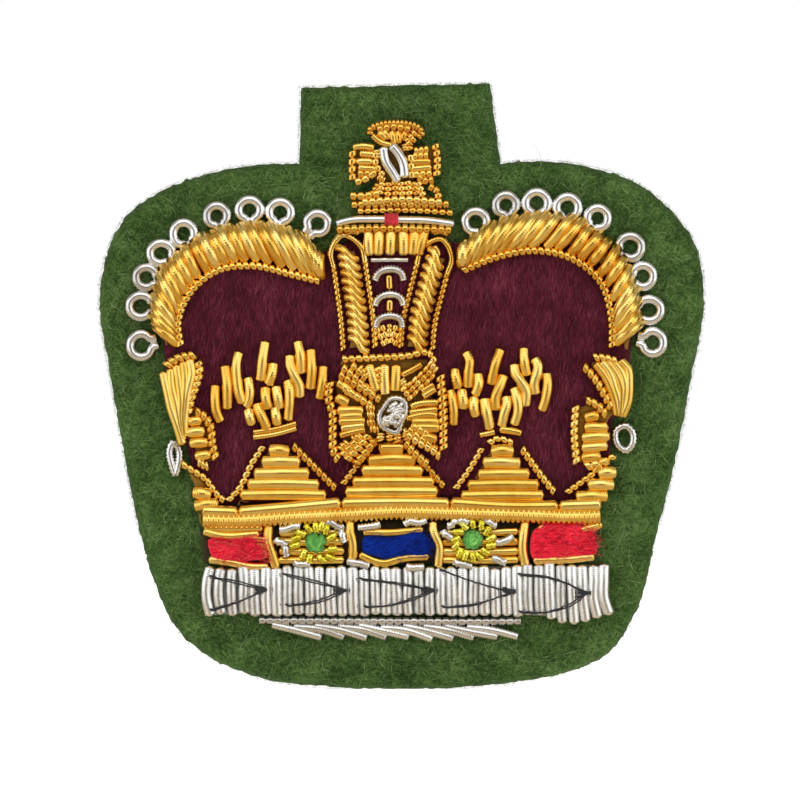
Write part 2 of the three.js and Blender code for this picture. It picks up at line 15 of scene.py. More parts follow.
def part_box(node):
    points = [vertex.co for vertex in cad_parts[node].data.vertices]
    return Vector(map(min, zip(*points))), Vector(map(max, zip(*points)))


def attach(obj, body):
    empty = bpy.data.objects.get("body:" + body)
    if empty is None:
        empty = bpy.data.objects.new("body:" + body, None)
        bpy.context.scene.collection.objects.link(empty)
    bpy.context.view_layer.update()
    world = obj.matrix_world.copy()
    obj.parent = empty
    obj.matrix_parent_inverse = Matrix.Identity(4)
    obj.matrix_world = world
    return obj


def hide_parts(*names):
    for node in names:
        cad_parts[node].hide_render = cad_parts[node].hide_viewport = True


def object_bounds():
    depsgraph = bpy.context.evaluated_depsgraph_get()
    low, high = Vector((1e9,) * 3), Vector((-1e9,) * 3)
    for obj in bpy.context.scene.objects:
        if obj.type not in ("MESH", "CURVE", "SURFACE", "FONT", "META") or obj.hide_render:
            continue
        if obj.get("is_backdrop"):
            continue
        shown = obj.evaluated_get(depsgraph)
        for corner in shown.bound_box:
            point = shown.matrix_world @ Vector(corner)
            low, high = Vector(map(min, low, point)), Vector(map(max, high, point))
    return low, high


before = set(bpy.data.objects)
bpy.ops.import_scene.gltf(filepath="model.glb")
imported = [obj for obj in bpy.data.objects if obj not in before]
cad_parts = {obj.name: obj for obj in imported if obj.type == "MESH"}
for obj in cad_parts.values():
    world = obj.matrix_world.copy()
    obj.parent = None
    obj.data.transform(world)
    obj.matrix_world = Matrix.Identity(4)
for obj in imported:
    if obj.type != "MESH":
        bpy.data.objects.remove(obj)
cad_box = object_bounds()

MM = 0.001
SQUARES_ACROSS = 50.2
felt_low, felt_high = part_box("backing_felt")
SQUARE = (felt_high.x - felt_low.x) / SQUARES_ACROSS / MM  # millimetres
FELT_BACK = -felt_high.y / MM
FELT = -felt_low.y / MM
CLOTH = -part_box("cap_cloth")[0].y / MM
OUT = np.array([0.0, -1.0, 0.0])
rng = np.random.default_rng(41)


def front_of(node):
    """Height of a CAD node's foremost point."""
    return -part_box(node)[0].y / MM


# ---- Lines ----


def curve(points, closed=False):
    """The length of a smooth line through points, and a function giving its places."""
    p = np.asarray(points, float)
    if closed:
        p = np.vstack([p[-1], p, p[0], p[1]])
    t = np.r_[0, np.cumsum(np.linalg.norm(np.diff(p, axis=0), axis=1))]
    slope = np.gradient(p, t, axis=0)
    first, last = (t[1], t[-2]) if closed else (0.0, t[-1])

    def at(s):
        k = np.clip(np.searchsorted(t, s + first, side="right") - 1, 0, len(t) - 2)
        h = (t[k + 1] - t[k])[:, None]
        u = (s + first - t[k])[:, None] / h
        line = (1 + 2 * u) * (1 - u) ** 2 * p[k] + u * (1 - u) ** 2 * h * slope[k]
        return line + u * u * (3 - 2 * u) * p[k + 1] + u * u * (u - 1) * h * slope[k + 1]

    return last - first, at


def smooth_line(points, step, closed=False):
    """Places at even steps on a smooth line through points."""
    length, at = curve(points, closed)
    count = max(3, round(length / step))
    return at(np.linspace(0, length, count + 1)[:count if closed else count + 1])


def plan_line(points, step=0.1):
    """A smooth plan line in millimetres."""
    return smooth_line(np.asarray(points, float) * SQUARE, step)


def unit(v):
    return v / np.maximum(np.linalg.norm(v, axis=-1, keepdims=True), 1e-9)


def right_of(v):
    """Plan directions turned a quarter to the right."""
    return np.stack([v[:, 1], -v[:, 0]], 1)


def lifted(plan, height):
    """Scene points over plan points in millimetres, at a height towards the viewer."""
    return np.stack([plan[..., 0], -height, plan[..., 1]], -1)


def signed_area(ring):
    """The area inside a loop of plan points, below zero for a clockwise one."""
    x, z = ring.T
    return np.sum(x * np.roll(z, -1) - z * np.roll(x, -1)) / 2


# ---- Purls: coiled wire laid on the surface ----

# A kind's profile gives (share of the pitch, swelling) and its waist the width between the swellings.
SMOOTH = dict(pitch=0.24, waist=1.0, sides=12, profile=[(0, 1)])
ROUGH = dict(pitch=0.22, waist=0.7, sides=10, profile=[(0, 0), (0.5, 1)])
BLOCK = [(0, 0), (0.09, 0.6), (0.17, 0.96), (0.27, 1), (0.73, 1), (0.83, 0.96), (0.91, 0.6)]
BEADS = dict(pitch=0.6, waist=0.3, sides=12, profile=BLOCK)
ROPE = dict(pitch=0.42, waist=0.66, sides=18, profile=[(0, 0), (0.2, 0.8), (0.5, 1), (0.8, 0.8)])
END_RINGS = np.array([0.06, 0.2, 0.4])  # where the rounded end of a purl has rings, in radii
END_WIDTH = 0.5
WIRE_SPREAD = 0.02  # how much the purls of one kind differ in width


def coil(points, radius, kind, closed=False, squash=1.0, slant=0.0):
    """Vertices, faces and place along the wire of one purl through (x, -height, z) points."""
    length, at = curve(points, closed)
    turns = max(3, round(length / kind["pitch"]))
    part, swell = np.array(kind["profile"], float).T
    s = ((np.arange(turns)[:, None] + part) * length / turns).ravel()
    grown = np.tile(kind["waist"] + (1 - kind["waist"]) * swell, turns)
    if not closed:
        s, grown = np.r_[s, length], np.r_[grown, grown[0]]
        cut = END_RINGS * radius
        extra = np.r_[cut, length - cut] if 2 * cut[-1] < length else cut[:0]
        merged = np.unique(np.r_[s, extra])
        s, grown = merged, np.interp(merged, s, grown)
        inward = np.clip(np.minimum(s, length - s) / cut[-1], 0, 1)
        grown = grown * np.sqrt(1 - (1 - inward) ** 2).clip(END_WIDTH)
    line = at(s)
    if closed:
        ahead = unit(np.roll(line, -1, 0) - np.roll(line, 1, 0))
    else:
        ahead = unit(np.gradient(line, axis=0))
    side = unit(np.cross(ahead, OUT))
    up = np.cross(side, ahead)
    sides = kind["sides"]
    turn = (np.arange(sides) + 0.5) * 2 * math.pi / sides
    wide = (grown * radius)[:, None]
    c, n = np.cos(turn), np.sin(turn)
    shift = slant * radius * c[None]
    verts = line[:, None] + (wide * c)[..., None] * side[:, None]
    verts = verts + (wide * squash * n)[..., None] * up[:, None] + shift[..., None] * ahead[:, None]
    rows = len(s)
    i, j = np.meshgrid(np.arange(rows if closed else rows - 1), np.arange(sides), indexing="ij")
    nxt, beside = (i + 1) % rows, (j + 1) % sides
    quads = np.stack([i * sides + j, nxt * sides + j, nxt * sides + beside, i * sides + beside], -1)
    faces = quads.reshape(-1, 4).tolist()
    if not closed:
        faces.append(list(range(sides)))
        faces.append([(rows - 1) * sides + k for k in reversed(range(sides))])
    return verts.reshape(-1, 3), faces, np.repeat(s, sides)


class Work:
    """Stitches of one material that make up one piece."""

    def __init__(self, name):
        self.name = name
        self.verts, self.faces, self.along, self.tone = [], [], [], []
        self.count = 0

    def put(self, verts, faces, along=None, tone=None):
        self.faces += [[self.count + k for k in face] for face in faces]
        self.verts.append(verts)
        self.along.append(np.zeros(len(verts)) if along is None else along)
        tone = rng.random() if tone is None else tone
        self.tone.append(np.broadcast_to(tone, len(verts)))
        self.count += len(verts)

    def lay(self, points, radius, base, kind=SMOOTH, bow=0.0, dip=0.0, lift=0.0, jog=0.02, **how):
        """A purl along plan points on a surface at height `base`.

        bow raises its middle, dip lowers its ends, jog moves its points a little."""
        plan = np.asarray(points, float) * SQUARE
        closed = how.get("closed", False)
        if len(plan) == 2 and (bow or dip):
            a, b = plan
            plan = np.vstack([a, a * 0.7 + b * 0.3, a * 0.3 + b * 0.7, b])
        plan = plan + rng.normal(0, jog, plan.shape)
        t = np.linspace(0, 1, len(plan))
        height = np.asarray(base, float) + radius * how.get("squash", 1.0) + lift
        height = height + bow * np.sin(math.pi * t) - dip * (2 * t - 1) ** 2
        radius = radius * (1 + rng.normal(0, WIRE_SPREAD))
        self.put(*coil(lifted(plan, height), radius, kind, **how))

    def lay_each(self, lines, *where, **how):
        """Purls of one kind along each of several lines."""
        for line in lines:
            self.lay(line, *where, **how)

    def build(self, material, slot, nodes=()):
        """Makes the Blender object and ties it to the frame."""
        mesh = bpy.data.meshes.new(self.name)
        mesh.from_pydata((np.concatenate(self.verts) * MM).tolist(), [], self.faces)
        for name, values in (("along", self.along), ("tone", self.tone)):
            mesh.attributes.new(name, "FLOAT", "POINT").data.foreach_set("value", np.concatenate(values))
        mesh.polygons.foreach_set("use_smooth", [True] * len(mesh.polygons))
        mesh.materials.append(material)
        piece = bpy.data.objects.new(self.name, mesh)
        bpy.context.scene.collection.objects.link(piece)
        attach(piece, "root")
        if nodes:
            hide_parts(*nodes)
        return piece


# ---- Soft layers ----


def back_outline(node, grow=0.0):
    """The loop round a CAD node's back face, in millimetres, moved outwards by `grow`."""
    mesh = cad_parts[node].data
    places = [v.co / MM for v in mesh.vertices]
    back = max(p.y for p in places)
    corners = {}
    ids = [corners.setdefault((round(p.x, 3), round(p.z, 3)), len(corners)) if p.y > back - 0.01 else -1
           for p in places]
    edges = set()
    for polygon in mesh.polygons:
        loop = [ids[v] for v in polygon.vertices]
        if min(loop) >= 0:
            edges.update(zip(loop, loop[1:] + loop[:1]))
    follow = {a: b for a, b in edges if (b, a) not in edges and a != b}
    order = [next(iter(sorted(follow)))]
    while follow[order[-1]] != order[0]:
        order.append(follow[order[-1]])
    ring = np.array(list(corners))[order]
    across = np.roll(ring, -1, 0) - np.roll(ring, 1, 0)
    return ring + unit(right_of(across)) * grow * np.sign(signed_area(ring))


def dense(ring, gap=0.08):
    """The same loop with points no further apart than `gap`."""
    parts = []
    for a, b in zip(ring, np.roll(ring, -1, 0)):
        count = max(1, math.ceil(np.linalg.norm(b - a) / gap))
        parts.append(a + (b - a) * (np.arange(count) / count)[:, None])
    return np.concatenate(parts)


def inside(x, z, ring):
    """Which plan points lie inside a loop."""
    hit = np.zeros(x.shape, bool)
    for (ax, az), (bx, bz) in zip(ring, np.roll(ring, -1, 0)):
        crosses = (az > z) != (bz > z)
        hit ^= crosses & (x < (bx - ax) * (z - az) / ((bz - az) or 1e-9) + ax)
    return hit


def nearest(points, edge):
    """For each point, the closest point of a dense loop and its distance."""
    found, away = np.empty_like(points), np.empty(len(points))
    for k in range(0, len(points), 2000):
        part = points[k:k + 2000]
        gap = np.linalg.norm(part[:, None] - edge[None], axis=2)
        best = gap.argmin(1)
        found[k:k + 2000] = edge[best]
        away[k:k + 2000] = gap[np.arange(len(part)), best]
    return found, away


def lumps(plan, size, seed):
    """Smooth noise over plan points, about -1 to 1, with features about `size` mm wide."""
    return np.array([noise.noise(Vector((x / size, z / size, seed))) for x, z in plan])


def soft_layer(work, ring, back, front, edge, step, rough=0.0, crown=0.0, ragged=0.0, seed=1.0):
    """A closed layer inside a loop, rounded at its rim, with an uneven surface."""
    rim_line = dense(ring)
    if ragged:
        across = unit(np.roll(rim_line, -1, 0) - np.roll(rim_line, 1, 0))
        push = ragged * (lumps(rim_line, 0.55, seed) + 0.6 * lumps(rim_line, 0.2, seed + 3))
        rim_line = rim_line + right_of(across) * push[:, None]
    low = ring.min(0) - step
    nx, nz = np.ceil((ring.max(0) + step - low) / step).astype(int)
    xs, zs = low[0] + step * np.arange(nx + 1), low[1] + step * np.arange(nz + 1)
    cx, cz = np.meshgrid(xs[:-1] + step / 2, zs[:-1] + step / 2, indexing="ij")
    i, j = np.nonzero(inside(cx, cz, ring))
    cells = np.stack([(i + a) * (nz + 1) + j + b for a, b in ((0, 0), (1, 0), (1, 1), (0, 1))], 1)
    ids, index = np.unique(cells, return_inverse=True)
    quads = index.reshape(-1, 4)
    plan = np.stack([xs[ids // (nz + 1)], zs[ids % (nz + 1)]], 1)
    edges = set(map(tuple, np.concatenate([quads[:, [k, (k + 1) % 4]] for k in range(4)]).tolist()))
    border = sorted((a, b) for a, b in edges if (b, a) not in edges)
    rim = np.unique(border)
    plan[rim] = nearest(plan[rim], rim_line)[0]
    away = nearest(plan, rim_line)[1]
    away[rim] = 0
    share = np.sqrt(1 - (1 - np.clip(away / edge, 0, 1)) ** 2)
    middle, half = (front + back) / 2, (front - back) / 2
    uneven = rough * (lumps(plan, 0.9, seed) + 0.5 * lumps(plan, 0.35, seed + 7)) * share
    rise = crown * np.sin(np.clip(away / max(away.max(), 1e-6), 0, 1) * math.pi / 2)
    full = half * (0.3 + 0.7 * share)
    count = len(plan)
    face, rear = lifted(plan, middle + full + uneven + rise), lifted(plan, middle - full)
    walls = [[b, a, a + count, b + count] for a, b in border]
    faces = quads.tolist() + (quads[:, ::-1] + count).tolist() + walls
    work.put(np.concatenate([face, rear]), faces, tone=0.35)
    return work


def padding(name, node, top, inset=0.3, material=None):
    """The felt under a motif, yellow unless another is given: it fills the CAD node's outline. The yellow is
    darkened to a deep amber, painted shade where it shows between the purls.
    """
    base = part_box(node)[1].y / -MM
    ring = back_outline(node, -inset)
    work = soft_layer(Work(name), ring, base, top, edge=0.5, step=0.35, rough=0.04, seed=5.0)
    work.build(material or SHADED_YELLOW_FELT, "padding")


def hairs(work, roots, angle, length, height, radius, curl, tone, stand=0.12):
    """Fine closed fibres that start at roots, run at an angle in the plane and bend a little."""
    count = len(roots)
    t = np.array([0.0, 0.33, 0.7, 1.0])
    thin = np.array([0.5, 1.0, 0.8, 0.25])
    ahead = np.stack([np.cos(angle), np.sin(angle)], 1)
    across = -right_of(ahead)
    plan = roots[:, None] + ahead[:, None] * (length[:, None] * t)[..., None]
    plan = plan + across[:, None] * ((curl * length)[:, None] * np.sin(math.pi * t))[..., None]
    arc = stand * np.sin(math.pi * np.clip(t * 1.1, 0, 1))
    spine = lifted(plan, height[:, None] + arc * rng.uniform(0.2, 1.6, count)[:, None])
    turn = np.arange(3) * 2 * math.pi / 3
    side = np.stack([across[:, 0], np.zeros(count), across[:, 1]], 1)
    wide = (radius[:, None] * thin)[..., None, None]
    around = np.cos(turn)[:, None] * side[:, None, None] + np.sin(turn)[:, None] * OUT
    verts = spine[:, :, None] + wide * around
    faces = []
    for ring in range(3):
        for k in range(3):
            n = (k + 1) % 3
            faces.append([ring * 3 + k, ring * 3 + n, ring * 3 + 3 + n, ring * 3 + 3 + k])
    faces += [[2, 1, 0], [9, 10, 11]]
    corners = 3 * len(t)
    every = [[corners * h + k for k in face] for h in range(count) for face in faces]
    work.put(verts.reshape(-1, 3), every, tone=np.repeat(tone, corners))


def scatter(ring, count):
    """Seeded random plan points inside a loop."""
    low, high = ring.min(0), ring.max(0)
    points = rng.uniform(low, high, (count * 3, 2))
    return points[inside(points[:, 0], points[:, 1], ring)][:count]


# ---- Materials ----


class Shader:
    """A Principled material whose nodes are added one call at a time."""

    def __init__(self, name, **sockets):
        self.material = bpy.data.materials.new(name)
        self.material.use_nodes = True
        self.tree = self.material.node_tree
        self.surface = self.tree.nodes["Principled BSDF"]
        for key, value in sockets.items():
            self.surface.inputs[key.replace("_", " ")].default_value = value

    def node(self, kind, links=None, **settings):
        made = self.tree.nodes.new("ShaderNode" + kind)
        for key, value in settings.items():
            if hasattr(made, key):
                setattr(made, key, value)
            else:
                made.inputs[key.replace("_", " ")].default_value = value
        for key, source in (links or {}).items():
            self.tree.links.new(source, made.inputs[key])
        return made

    def attribute(self, name):
        return self.node("Attribute", attribute_name=name).outputs["Fac"]

    def noise(self, scale, stretch=(1, 1, 1), turn=(0, 0, 0), detail=3.0, distortion=0.0):
        """Noise with `scale` features to the metre, turned and then stretched along its own axes."""
        place = {"Vector": self.node("TexCoord").outputs["Object"]}
        turned = self.node("Mapping", place, vector_type="TEXTURE", Rotation=turn, Scale=stretch)
        return self.node("TexNoise", {"Vector": turned.outputs["Vector"]}, Scale=scale, Detail=detail,
                         Distortion=distortion).outputs["Fac"]

    def math(self, operation, a, b=None):
        made = self.node("Math", operation=operation)
        for socket, value in zip(made.inputs, (a, b)):
            if value is None:
                continue
            if isinstance(value, (int, float)):
                socket.default_value = value
            else:
                self.tree.links.new(value, socket)
        return made.outputs["Value"]

    def mix(self, a, share_a, b, share_b):
        """The sum of two values, each times its share."""
        return self.math("ADD", self.math("MULTIPLY", a, share_a), self.math("MULTIPLY", b, share_b))

    def wave(self, length):
        """Ridges across a strand, `length` millimetres apart along it."""
        return self.math("SINE", self.math("MULTIPLY", self.attribute("along"), 2 * math.pi / length))

    def ramp(self, factor, stops):
        made = self.node("ValToRGB", {"Fac": factor})
        elements = made.color_ramp.elements
        while len(elements) < len(stops):
            elements.new(0.5)
        for element, (place, color) in zip(elements, stops):
            element.position = place
            element.color = (*color, 1)
        return made.outputs["Color"]

    def link(self, output, socket):
        self.tree.links.new(output, self.surface.inputs[socket])

    def bump(self, height, distance, strength=1.0, after=None):
        links = {"Height": height}
        if after is not None:
            links["Normal"] = after
        return self.node("Bump", links, Distance=distance * MM, Strength=strength).outputs["Normal"]


def purl_shader(name, stops, roughness, ridge=0.16):
    """Coiled bright wire: fine ridges across the wire, a hue of its own on each stitch and tarnish."""
    s = Shader(name, Metallic=1.0, Roughness=roughness)
    tarnish = s.noise(900, detail=4.0)
    s.link(s.ramp(s.mix(s.attribute("tone"), 0.45, tarnish, 0.6), stops), "Base Color")
    fine = s.noise(9000, detail=2.0)
    rough = s.math("ADD", s.math("MULTIPLY", fine, 0.1), roughness - 0.05)
    s.link(rough, "Roughness")
    normal = s.bump(s.noise(2500, detail=2.0), 0.008, 0.6)
    if ridge:
        normal = s.bump(s.wave(ridge), 0.003, 1.0, normal)
    s.link(normal, "Normal")
    return s.material


def fibre_shader(name, stops, size=0.16, reach=0.6, turns=(0.5, 1.5, -0.7), depth=0.12, sheen=0.1,
                 tint=(1, 1, 1)):
    """Matted or piled wool: crossing streaks for the fibres, `reach` mm long and `size` mm wide."""
    s = Shader(name, Roughness=0.92, Specular_IOR_Level=0.15, Sheen_Weight=sheen, Sheen_Roughness=0.5,
               Sheen_Tint=(*tint, 1))
    streak = [s.noise(1 / (size * MM), (1, 1, reach / size), (0, turn, 0), detail=3.0, distortion=0.3)
              for turn in turns]
    woven = s.math("MAXIMUM", s.math("MAXIMUM", streak[0], streak[1]), streak[2])
    cloud = s.noise(400, detail=4.0)
    value = s.mix(woven, 0.75, cloud, 0.25)
    value = s.math("ADD", value, s.math("MULTIPLY", s.attribute("tone"), 0.3))
    s.link(s.ramp(value, stops), "Base Color")
    s.link(s.bump(woven, depth, 0.9), "Normal")
    return s.material


def thread_shader(name, stops):
    """Twisted silk or cotton: fine ply across each strand."""
    s = Shader(name, Roughness=0.55, Sheen_Weight=0.1)
    ply = s.wave(0.11)
    value = s.mix(s.noise(2600, detail=3.0), 0.7, ply, 0.12)
    value = s.math("ADD", value, s.math("MULTIPLY", s.attribute("tone"), 0.3))
    s.link(s.ramp(value, stops), "Base Color")
    s.link(s.bump(ply, 0.02, 0.8), "Normal")
    return s.material


def buckram_shader(name):
    """Stiff black cotton: a plain weave with size on it."""
    s = Shader(name, Roughness=0.8, Sheen_Weight=0.15)
    place = s.node("TexCoord").outputs["Object"]
    weave = [s.node("TexWave", {"Vector": place}, bands_direction=axis, Scale=620, Distortion=0.8,
                    Detail=2.0).outputs["Fac"] for axis in ("X", "Z")]
    cross = s.math("MAXIMUM", *weave)
    tone = s.mix(cross, 0.6, s.noise(500), 0.4)
    s.link(s.ramp(tone, [(0.2, (0.008, 0.008, 0.008)), (0.85, (0.06, 0.058, 0.055))]), "Base Color")
    s.link(s.bump(cross, 0.08, 0.9), "Normal")
    return s.material


GOLD = purl_shader("smooth_gold_purl", [(0.2, (0.8, 0.42, 0.05)), (0.55, (0.98, 0.64, 0.14)),
                                        (0.9, (1.0, 0.76, 0.27))], 0.25)
BEAD_GOLD = purl_shader("rough_gold_purl", [(0.2, (0.74, 0.37, 0.045)), (0.55, (0.96, 0.61, 0.13)),
                                            (0.9, (1.0, 0.77, 0.27))], 0.17, ridge=0)
SILVER = purl_shader("silver_purl", [(0.2, (0.6, 0.57, 0.54)), (0.6, (0.86, 0.85, 0.83)),
                                     (0.95, (0.95, 0.95, 0.95))], 0.25, ridge=0)
ERMINE = purl_shader("ermine_purl", [(0.15, (0.62, 0.6, 0.56)), (0.5, (0.84, 0.83, 0.8)),
                                     (0.95, (0.93, 0.92, 0.9))], 0.26)
LEMON = purl_shader("lemon_chip", [(0.2, (0.6, 0.5, 0.02)), (0.6, (0.95, 0.85, 0.1)),
                                   (0.95, (1, 0.97, 0.3))], 0.25, ridge=0.14)
FELT_GREEN = fibre_shader("green_felt", [(0.56, (0.014, 0.034, 0.005)), (0.67, (0.045, 0.09, 0.018)),
                                         (0.8, (0.11, 0.18, 0.05)), (1.0, (0.3, 0.4, 0.17))], 0.13, 0.6,
                          tint=(0.8, 1, 0.6))
MAROON = fibre_shader("maroon_cloth", [(0.56, (0.035, 0.002, 0.006)), (0.68, (0.08, 0.007, 0.017)),
                                       (0.8, (0.15, 0.026, 0.044)), (1.0, (0.28, 0.085, 0.11))],
                      0.11, 0.8, (0.12, -0.2, 0.3), 0.06, 0.06, (1, 0.7, 0.8))
# Yellow padding felt, darkened to a deep amber: painted shade in the gaps between the purls.
SHADED_YELLOW_FELT = fibre_shader("yellow_padding_painted_shade", [(0.4, (0.08, 0.032, 0.003)), (0.9, (0.36, 0.18, 0.02))])
DARK_FELT = fibre_shader("dark_padding", [(0.4, (0.012, 0.009, 0.004)), (0.9, (0.06, 0.04, 0.012))])
WHITE_FELT = fibre_shader("white_padding", [(0.3, (0.1, 0.095, 0.085)), (0.9, (0.3, 0.29, 0.27))])
RED_FELT = fibre_shader("red_felt", [(0.54, (0.3, 0.0, 0.008)), (0.66, (0.72, 0.007, 0.03)),
                                     (0.82, (0.98, 0.05, 0.08)), (1.0, (1.0, 0.2, 0.16))],
                        0.12, 0.7, (1.4, 1.7, 1.1), 0.06)
BLUE_CLOTH = fibre_shader("blue_cloth", [(0.54, (0.0, 0.005, 0.09)), (0.68, (0.0, 0.016, 0.2)),
                                         (0.9, (0.005, 0.05, 0.42))], 0.1, 0.5, (1.4, 1.7, 0.9), 0.04, 0.02)
GREEN_SILK = thread_shader("green_thread", [(0.2, (0.02, 0.16, 0.015)), (0.6, (0.11, 0.42, 0.05)),
                                            (0.95, (0.4, 0.8, 0.2))])
BLACK_COTTON = thread_shader("black_thread", [(0.2, (0.004, 0.004, 0.005)), (0.9, (0.03, 0.03, 0.035))])
RED_SILK = thread_shader("red_thread", [(0.2, (0.3, 0.0, 0.008)), (0.9, (0.85, 0.03, 0.04))])
BUCKRAM = buckram_shader("black_buckram")


# ---- Backing ----


FACE_HAIRS = 7600
RIM_HAIRS = 4200
PILE_HAIRS = 5200
RUBY_HAIRS = 420
SAPPHIRE_HAIRS = 300
PILE_CROWN = 0.15  # how far the cap cloth rises in its middle, millimetres


def backing():
    ring = back_outline("backing_felt", 0.25)
    felt = soft_layer(Work("green_felt_backing"), ring, FELT_BACK, FELT, 0.55, 0.4, 0.07, ragged=0.12)
    felt.build(FELT_GREEN, "green_felt", ["backing_felt"])
    roots = scatter(back_outline("backing_felt", -0.9), FACE_HAIRS)
    count = len(roots)
    face = Work("felt_nap")
    hairs(face, roots, rng.uniform(0, 2 * math.pi, count), rng.gamma(3.0, 0.26, count) + 0.3,
          np.full(count, FELT + 0.02), rng.uniform(0.012, 0.026, count), rng.normal(0, 0.3, count),
          rng.uniform(-0.2, 1.5, count))
    face.build(FELT_GREEN, "green_felt")
    rim = dense(ring, 0.03)
    pick = rng.integers(0, len(rim), RIM_HAIRS)
    along = rim[(pick + 1) % len(rim)] - rim[pick - 1]
    outward = np.arctan2(along[:, 1], along[:, 0]) - math.pi / 2
    # The edge fibres take lighter tones than the face fibres: painted highlight on the felt's fuzzy rim.
    edge = Work("felt_edge_nap_painted_highlight")
    spots = rim[pick] - 0.15 * np.stack([np.cos(outward), np.sin(outward)], 1)
    hairs(edge, spots, outward + rng.normal(0, 0.85, RIM_HAIRS), rng.gamma(2.0, 0.035, RIM_HAIRS) + 0.1,
          rng.uniform(FELT_BACK + 0.1, FELT - 0.1, RIM_HAIRS), rng.uniform(0.008, 0.016, RIM_HAIRS),
          rng.normal(0, 0.35, RIM_HAIRS), rng.uniform(0.3, 1.5, RIM_HAIRS))
    edge.build(FELT_GREEN, "green_felt")
    lining_ring = back_outline("back_lining")
    lining = soft_layer(Work("buckram_lining"), lining_ring, 0, FELT_BACK, 0.15, 0.5, 0.0, ragged=0.04)
    lining.build(BUCKRAM, "lining", ["back_lining"])


def cap_cloth():
    ring = back_outline("cap_cloth")
    cloth = soft_layer(Work("maroon_cap_cloth"), ring, FELT, CLOTH, 0.3, 0.4, 0.04, PILE_CROWN, seed=3.0)
    cloth.build(MAROON, "maroon_cloth", ["cap_cloth"])
    roots = scatter(ring, PILE_HAIRS)
    count = len(roots)
    away = nearest(roots, dense(ring))[1]
    rise = CLOTH + 0.03 + PILE_CROWN * np.sin(np.clip(away / away.max(), 0, 1) * math.pi / 2)
    pile = Work("cloth_pile")
    angle = rng.choice([-1, 1], count) * math.pi / 2 + rng.normal(0, 0.22, count)
    hairs(pile, roots, angle, rng.gamma(3, 0.25, count) + 0.3, rise, rng.uniform(0.01, 0.022, count),
          rng.normal(0, 0.12, count), rng.uniform(-0.1, 1.0, count), stand=0.06)
    pile.build(MAROON, "maroon_cloth")


# ---- Arches and their pearls ----

# The purls of an arch lie across it from `outer` to `cord`; `lean` is their direction along it.
ARCHES = {
    "left": dict(
        cord=[[-18.3, 3.2], [-18.5, 5.2], [-17.6, 7.6], [-15.2, 9.5], [-12.2, 9.95], [-9, 9.2], [-6.7, 8.6]],
        outer=[[-20, 2.9], [-20.6, 6.3], [-19.4, 10], [-16.4, 12.4], [-12.3, 13.4], [-8.9, 12.7],
               [-6.5, 10.6]],
        lean=[(0.9, -1.9), (1.0, -2.2), (1.1, -2.4), (1.2, -2.5), (1.5, -2.5), (1.0, -2.4)],
        count=25, rough=0.03),
    "right": dict(
        cord=[[17.4, 3.2], [17.4, 5.5], [16.5, 8.6], [13.8, 10.7], [11.1, 11.2], [7.6, 10.6], [4.95, 9.5]],
        outer=[[19.3, 2.9], [19.7, 5.6], [18.8, 9.6], [16, 12.9], [11.6, 14.2], [7.8, 13.4], [4.9, 11.6]],
        lean=[(-1.5, -1.6), (-1.0, -2.2), (-1.7, -2.0), (-1.9, -1.9), (-1.5, -2.3), (-0.8, -2.4)],
        count=23, rough=0.06),
}

PEARLS = {
    "left": [[-21.55, 3.35], [-21.6, 6.6], [-21.15, 9], [-19.9, 11], [-18.05, 12.6], [-15.3, 14.1],
             [-12.6, 14.6], [-10.05, 14.4], [-6.95, 13.45]],
    "right": [[20.8, 3.6], [20.5, 6.3], [20, 9.1], [18.95, 11.5], [16.25, 13.9], [13.75, 14.8],
              [11.2, 15.15], [8.65, 15], [6.15, 13.6]],
}


FAR_OFF = 9  # millimetres added for a place on the cord behind the purl


def arch(side, form):
    top = front_of(f"arch_purl_{side}")
    cord, outer = plan_line(form["cord"], 0.05), plan_line(form["outer"])
    core = Work(f"arch_core_{side}")
    ring = back_outline(f"arch_padding_{side}")
    soft_layer(core, ring, CLOTH, front_of(f"arch_padding_{side}"), 1.1, 0.35, 0.04)
    core.build(SHADED_YELLOW_FELT, "padding", [f"arch_padding_{side}"])
    satin = Work(f"arch_satin_{side}")
    radius, step_on = 0.48, 9
    knots = np.linspace(0, 1, len(form["lean"]))
    foot = -step_on
    for i in range(form["count"]):
        share = (i + 0.5) / form["count"]
        start = outer[int((0.08 + 0.92 * share) * (len(outer) - 1))]
        aim = unit(np.array([np.interp(share, knots, part) for part in zip(*form["lean"])]))
        gap = cord - start
        missed = np.abs(gap[:, 0] * aim[1] - gap[:, 1] * aim[0]) + FAR_OFF * (gap @ aim < 0)
        foot = min(max(missed.argmin(), foot + step_on), len(cord) - 1)
        finish = cord[foot] + (start - cord[foot]) * 0.13
        start = start - aim * rng.uniform(-0.05, 0.3)
        t = np.array([0, 0.28, 0.68, 1])[:, None]
        spots = start + (finish - start) * t + rng.normal(0, form["rough"], (4, 2))
        heights = np.array([FELT + 0.5, top - radius - 0.1, top - radius - 0.1, CLOTH + 0.42])
        heights = heights + rng.normal(0, form["rough"], 4)
        satin.put(*coil(lifted(spots, heights), radius * rng.uniform(0.95, 1.06), SMOOTH, squash=0.9))
    satin.build(GOLD, "gold_smooth", [f"arch_purl_{side}"])
    beads = Work(f"arch_beads_{side}")
    beads.lay(form["cord"], 0.4, CLOTH + 0.3, dict(BEADS, pitch=0.55), squash=0.9, slant=0.3, jog=0.03)
    beads.build(BEAD_GOLD, "gold_rough", [f"arch_edge_{side}"])


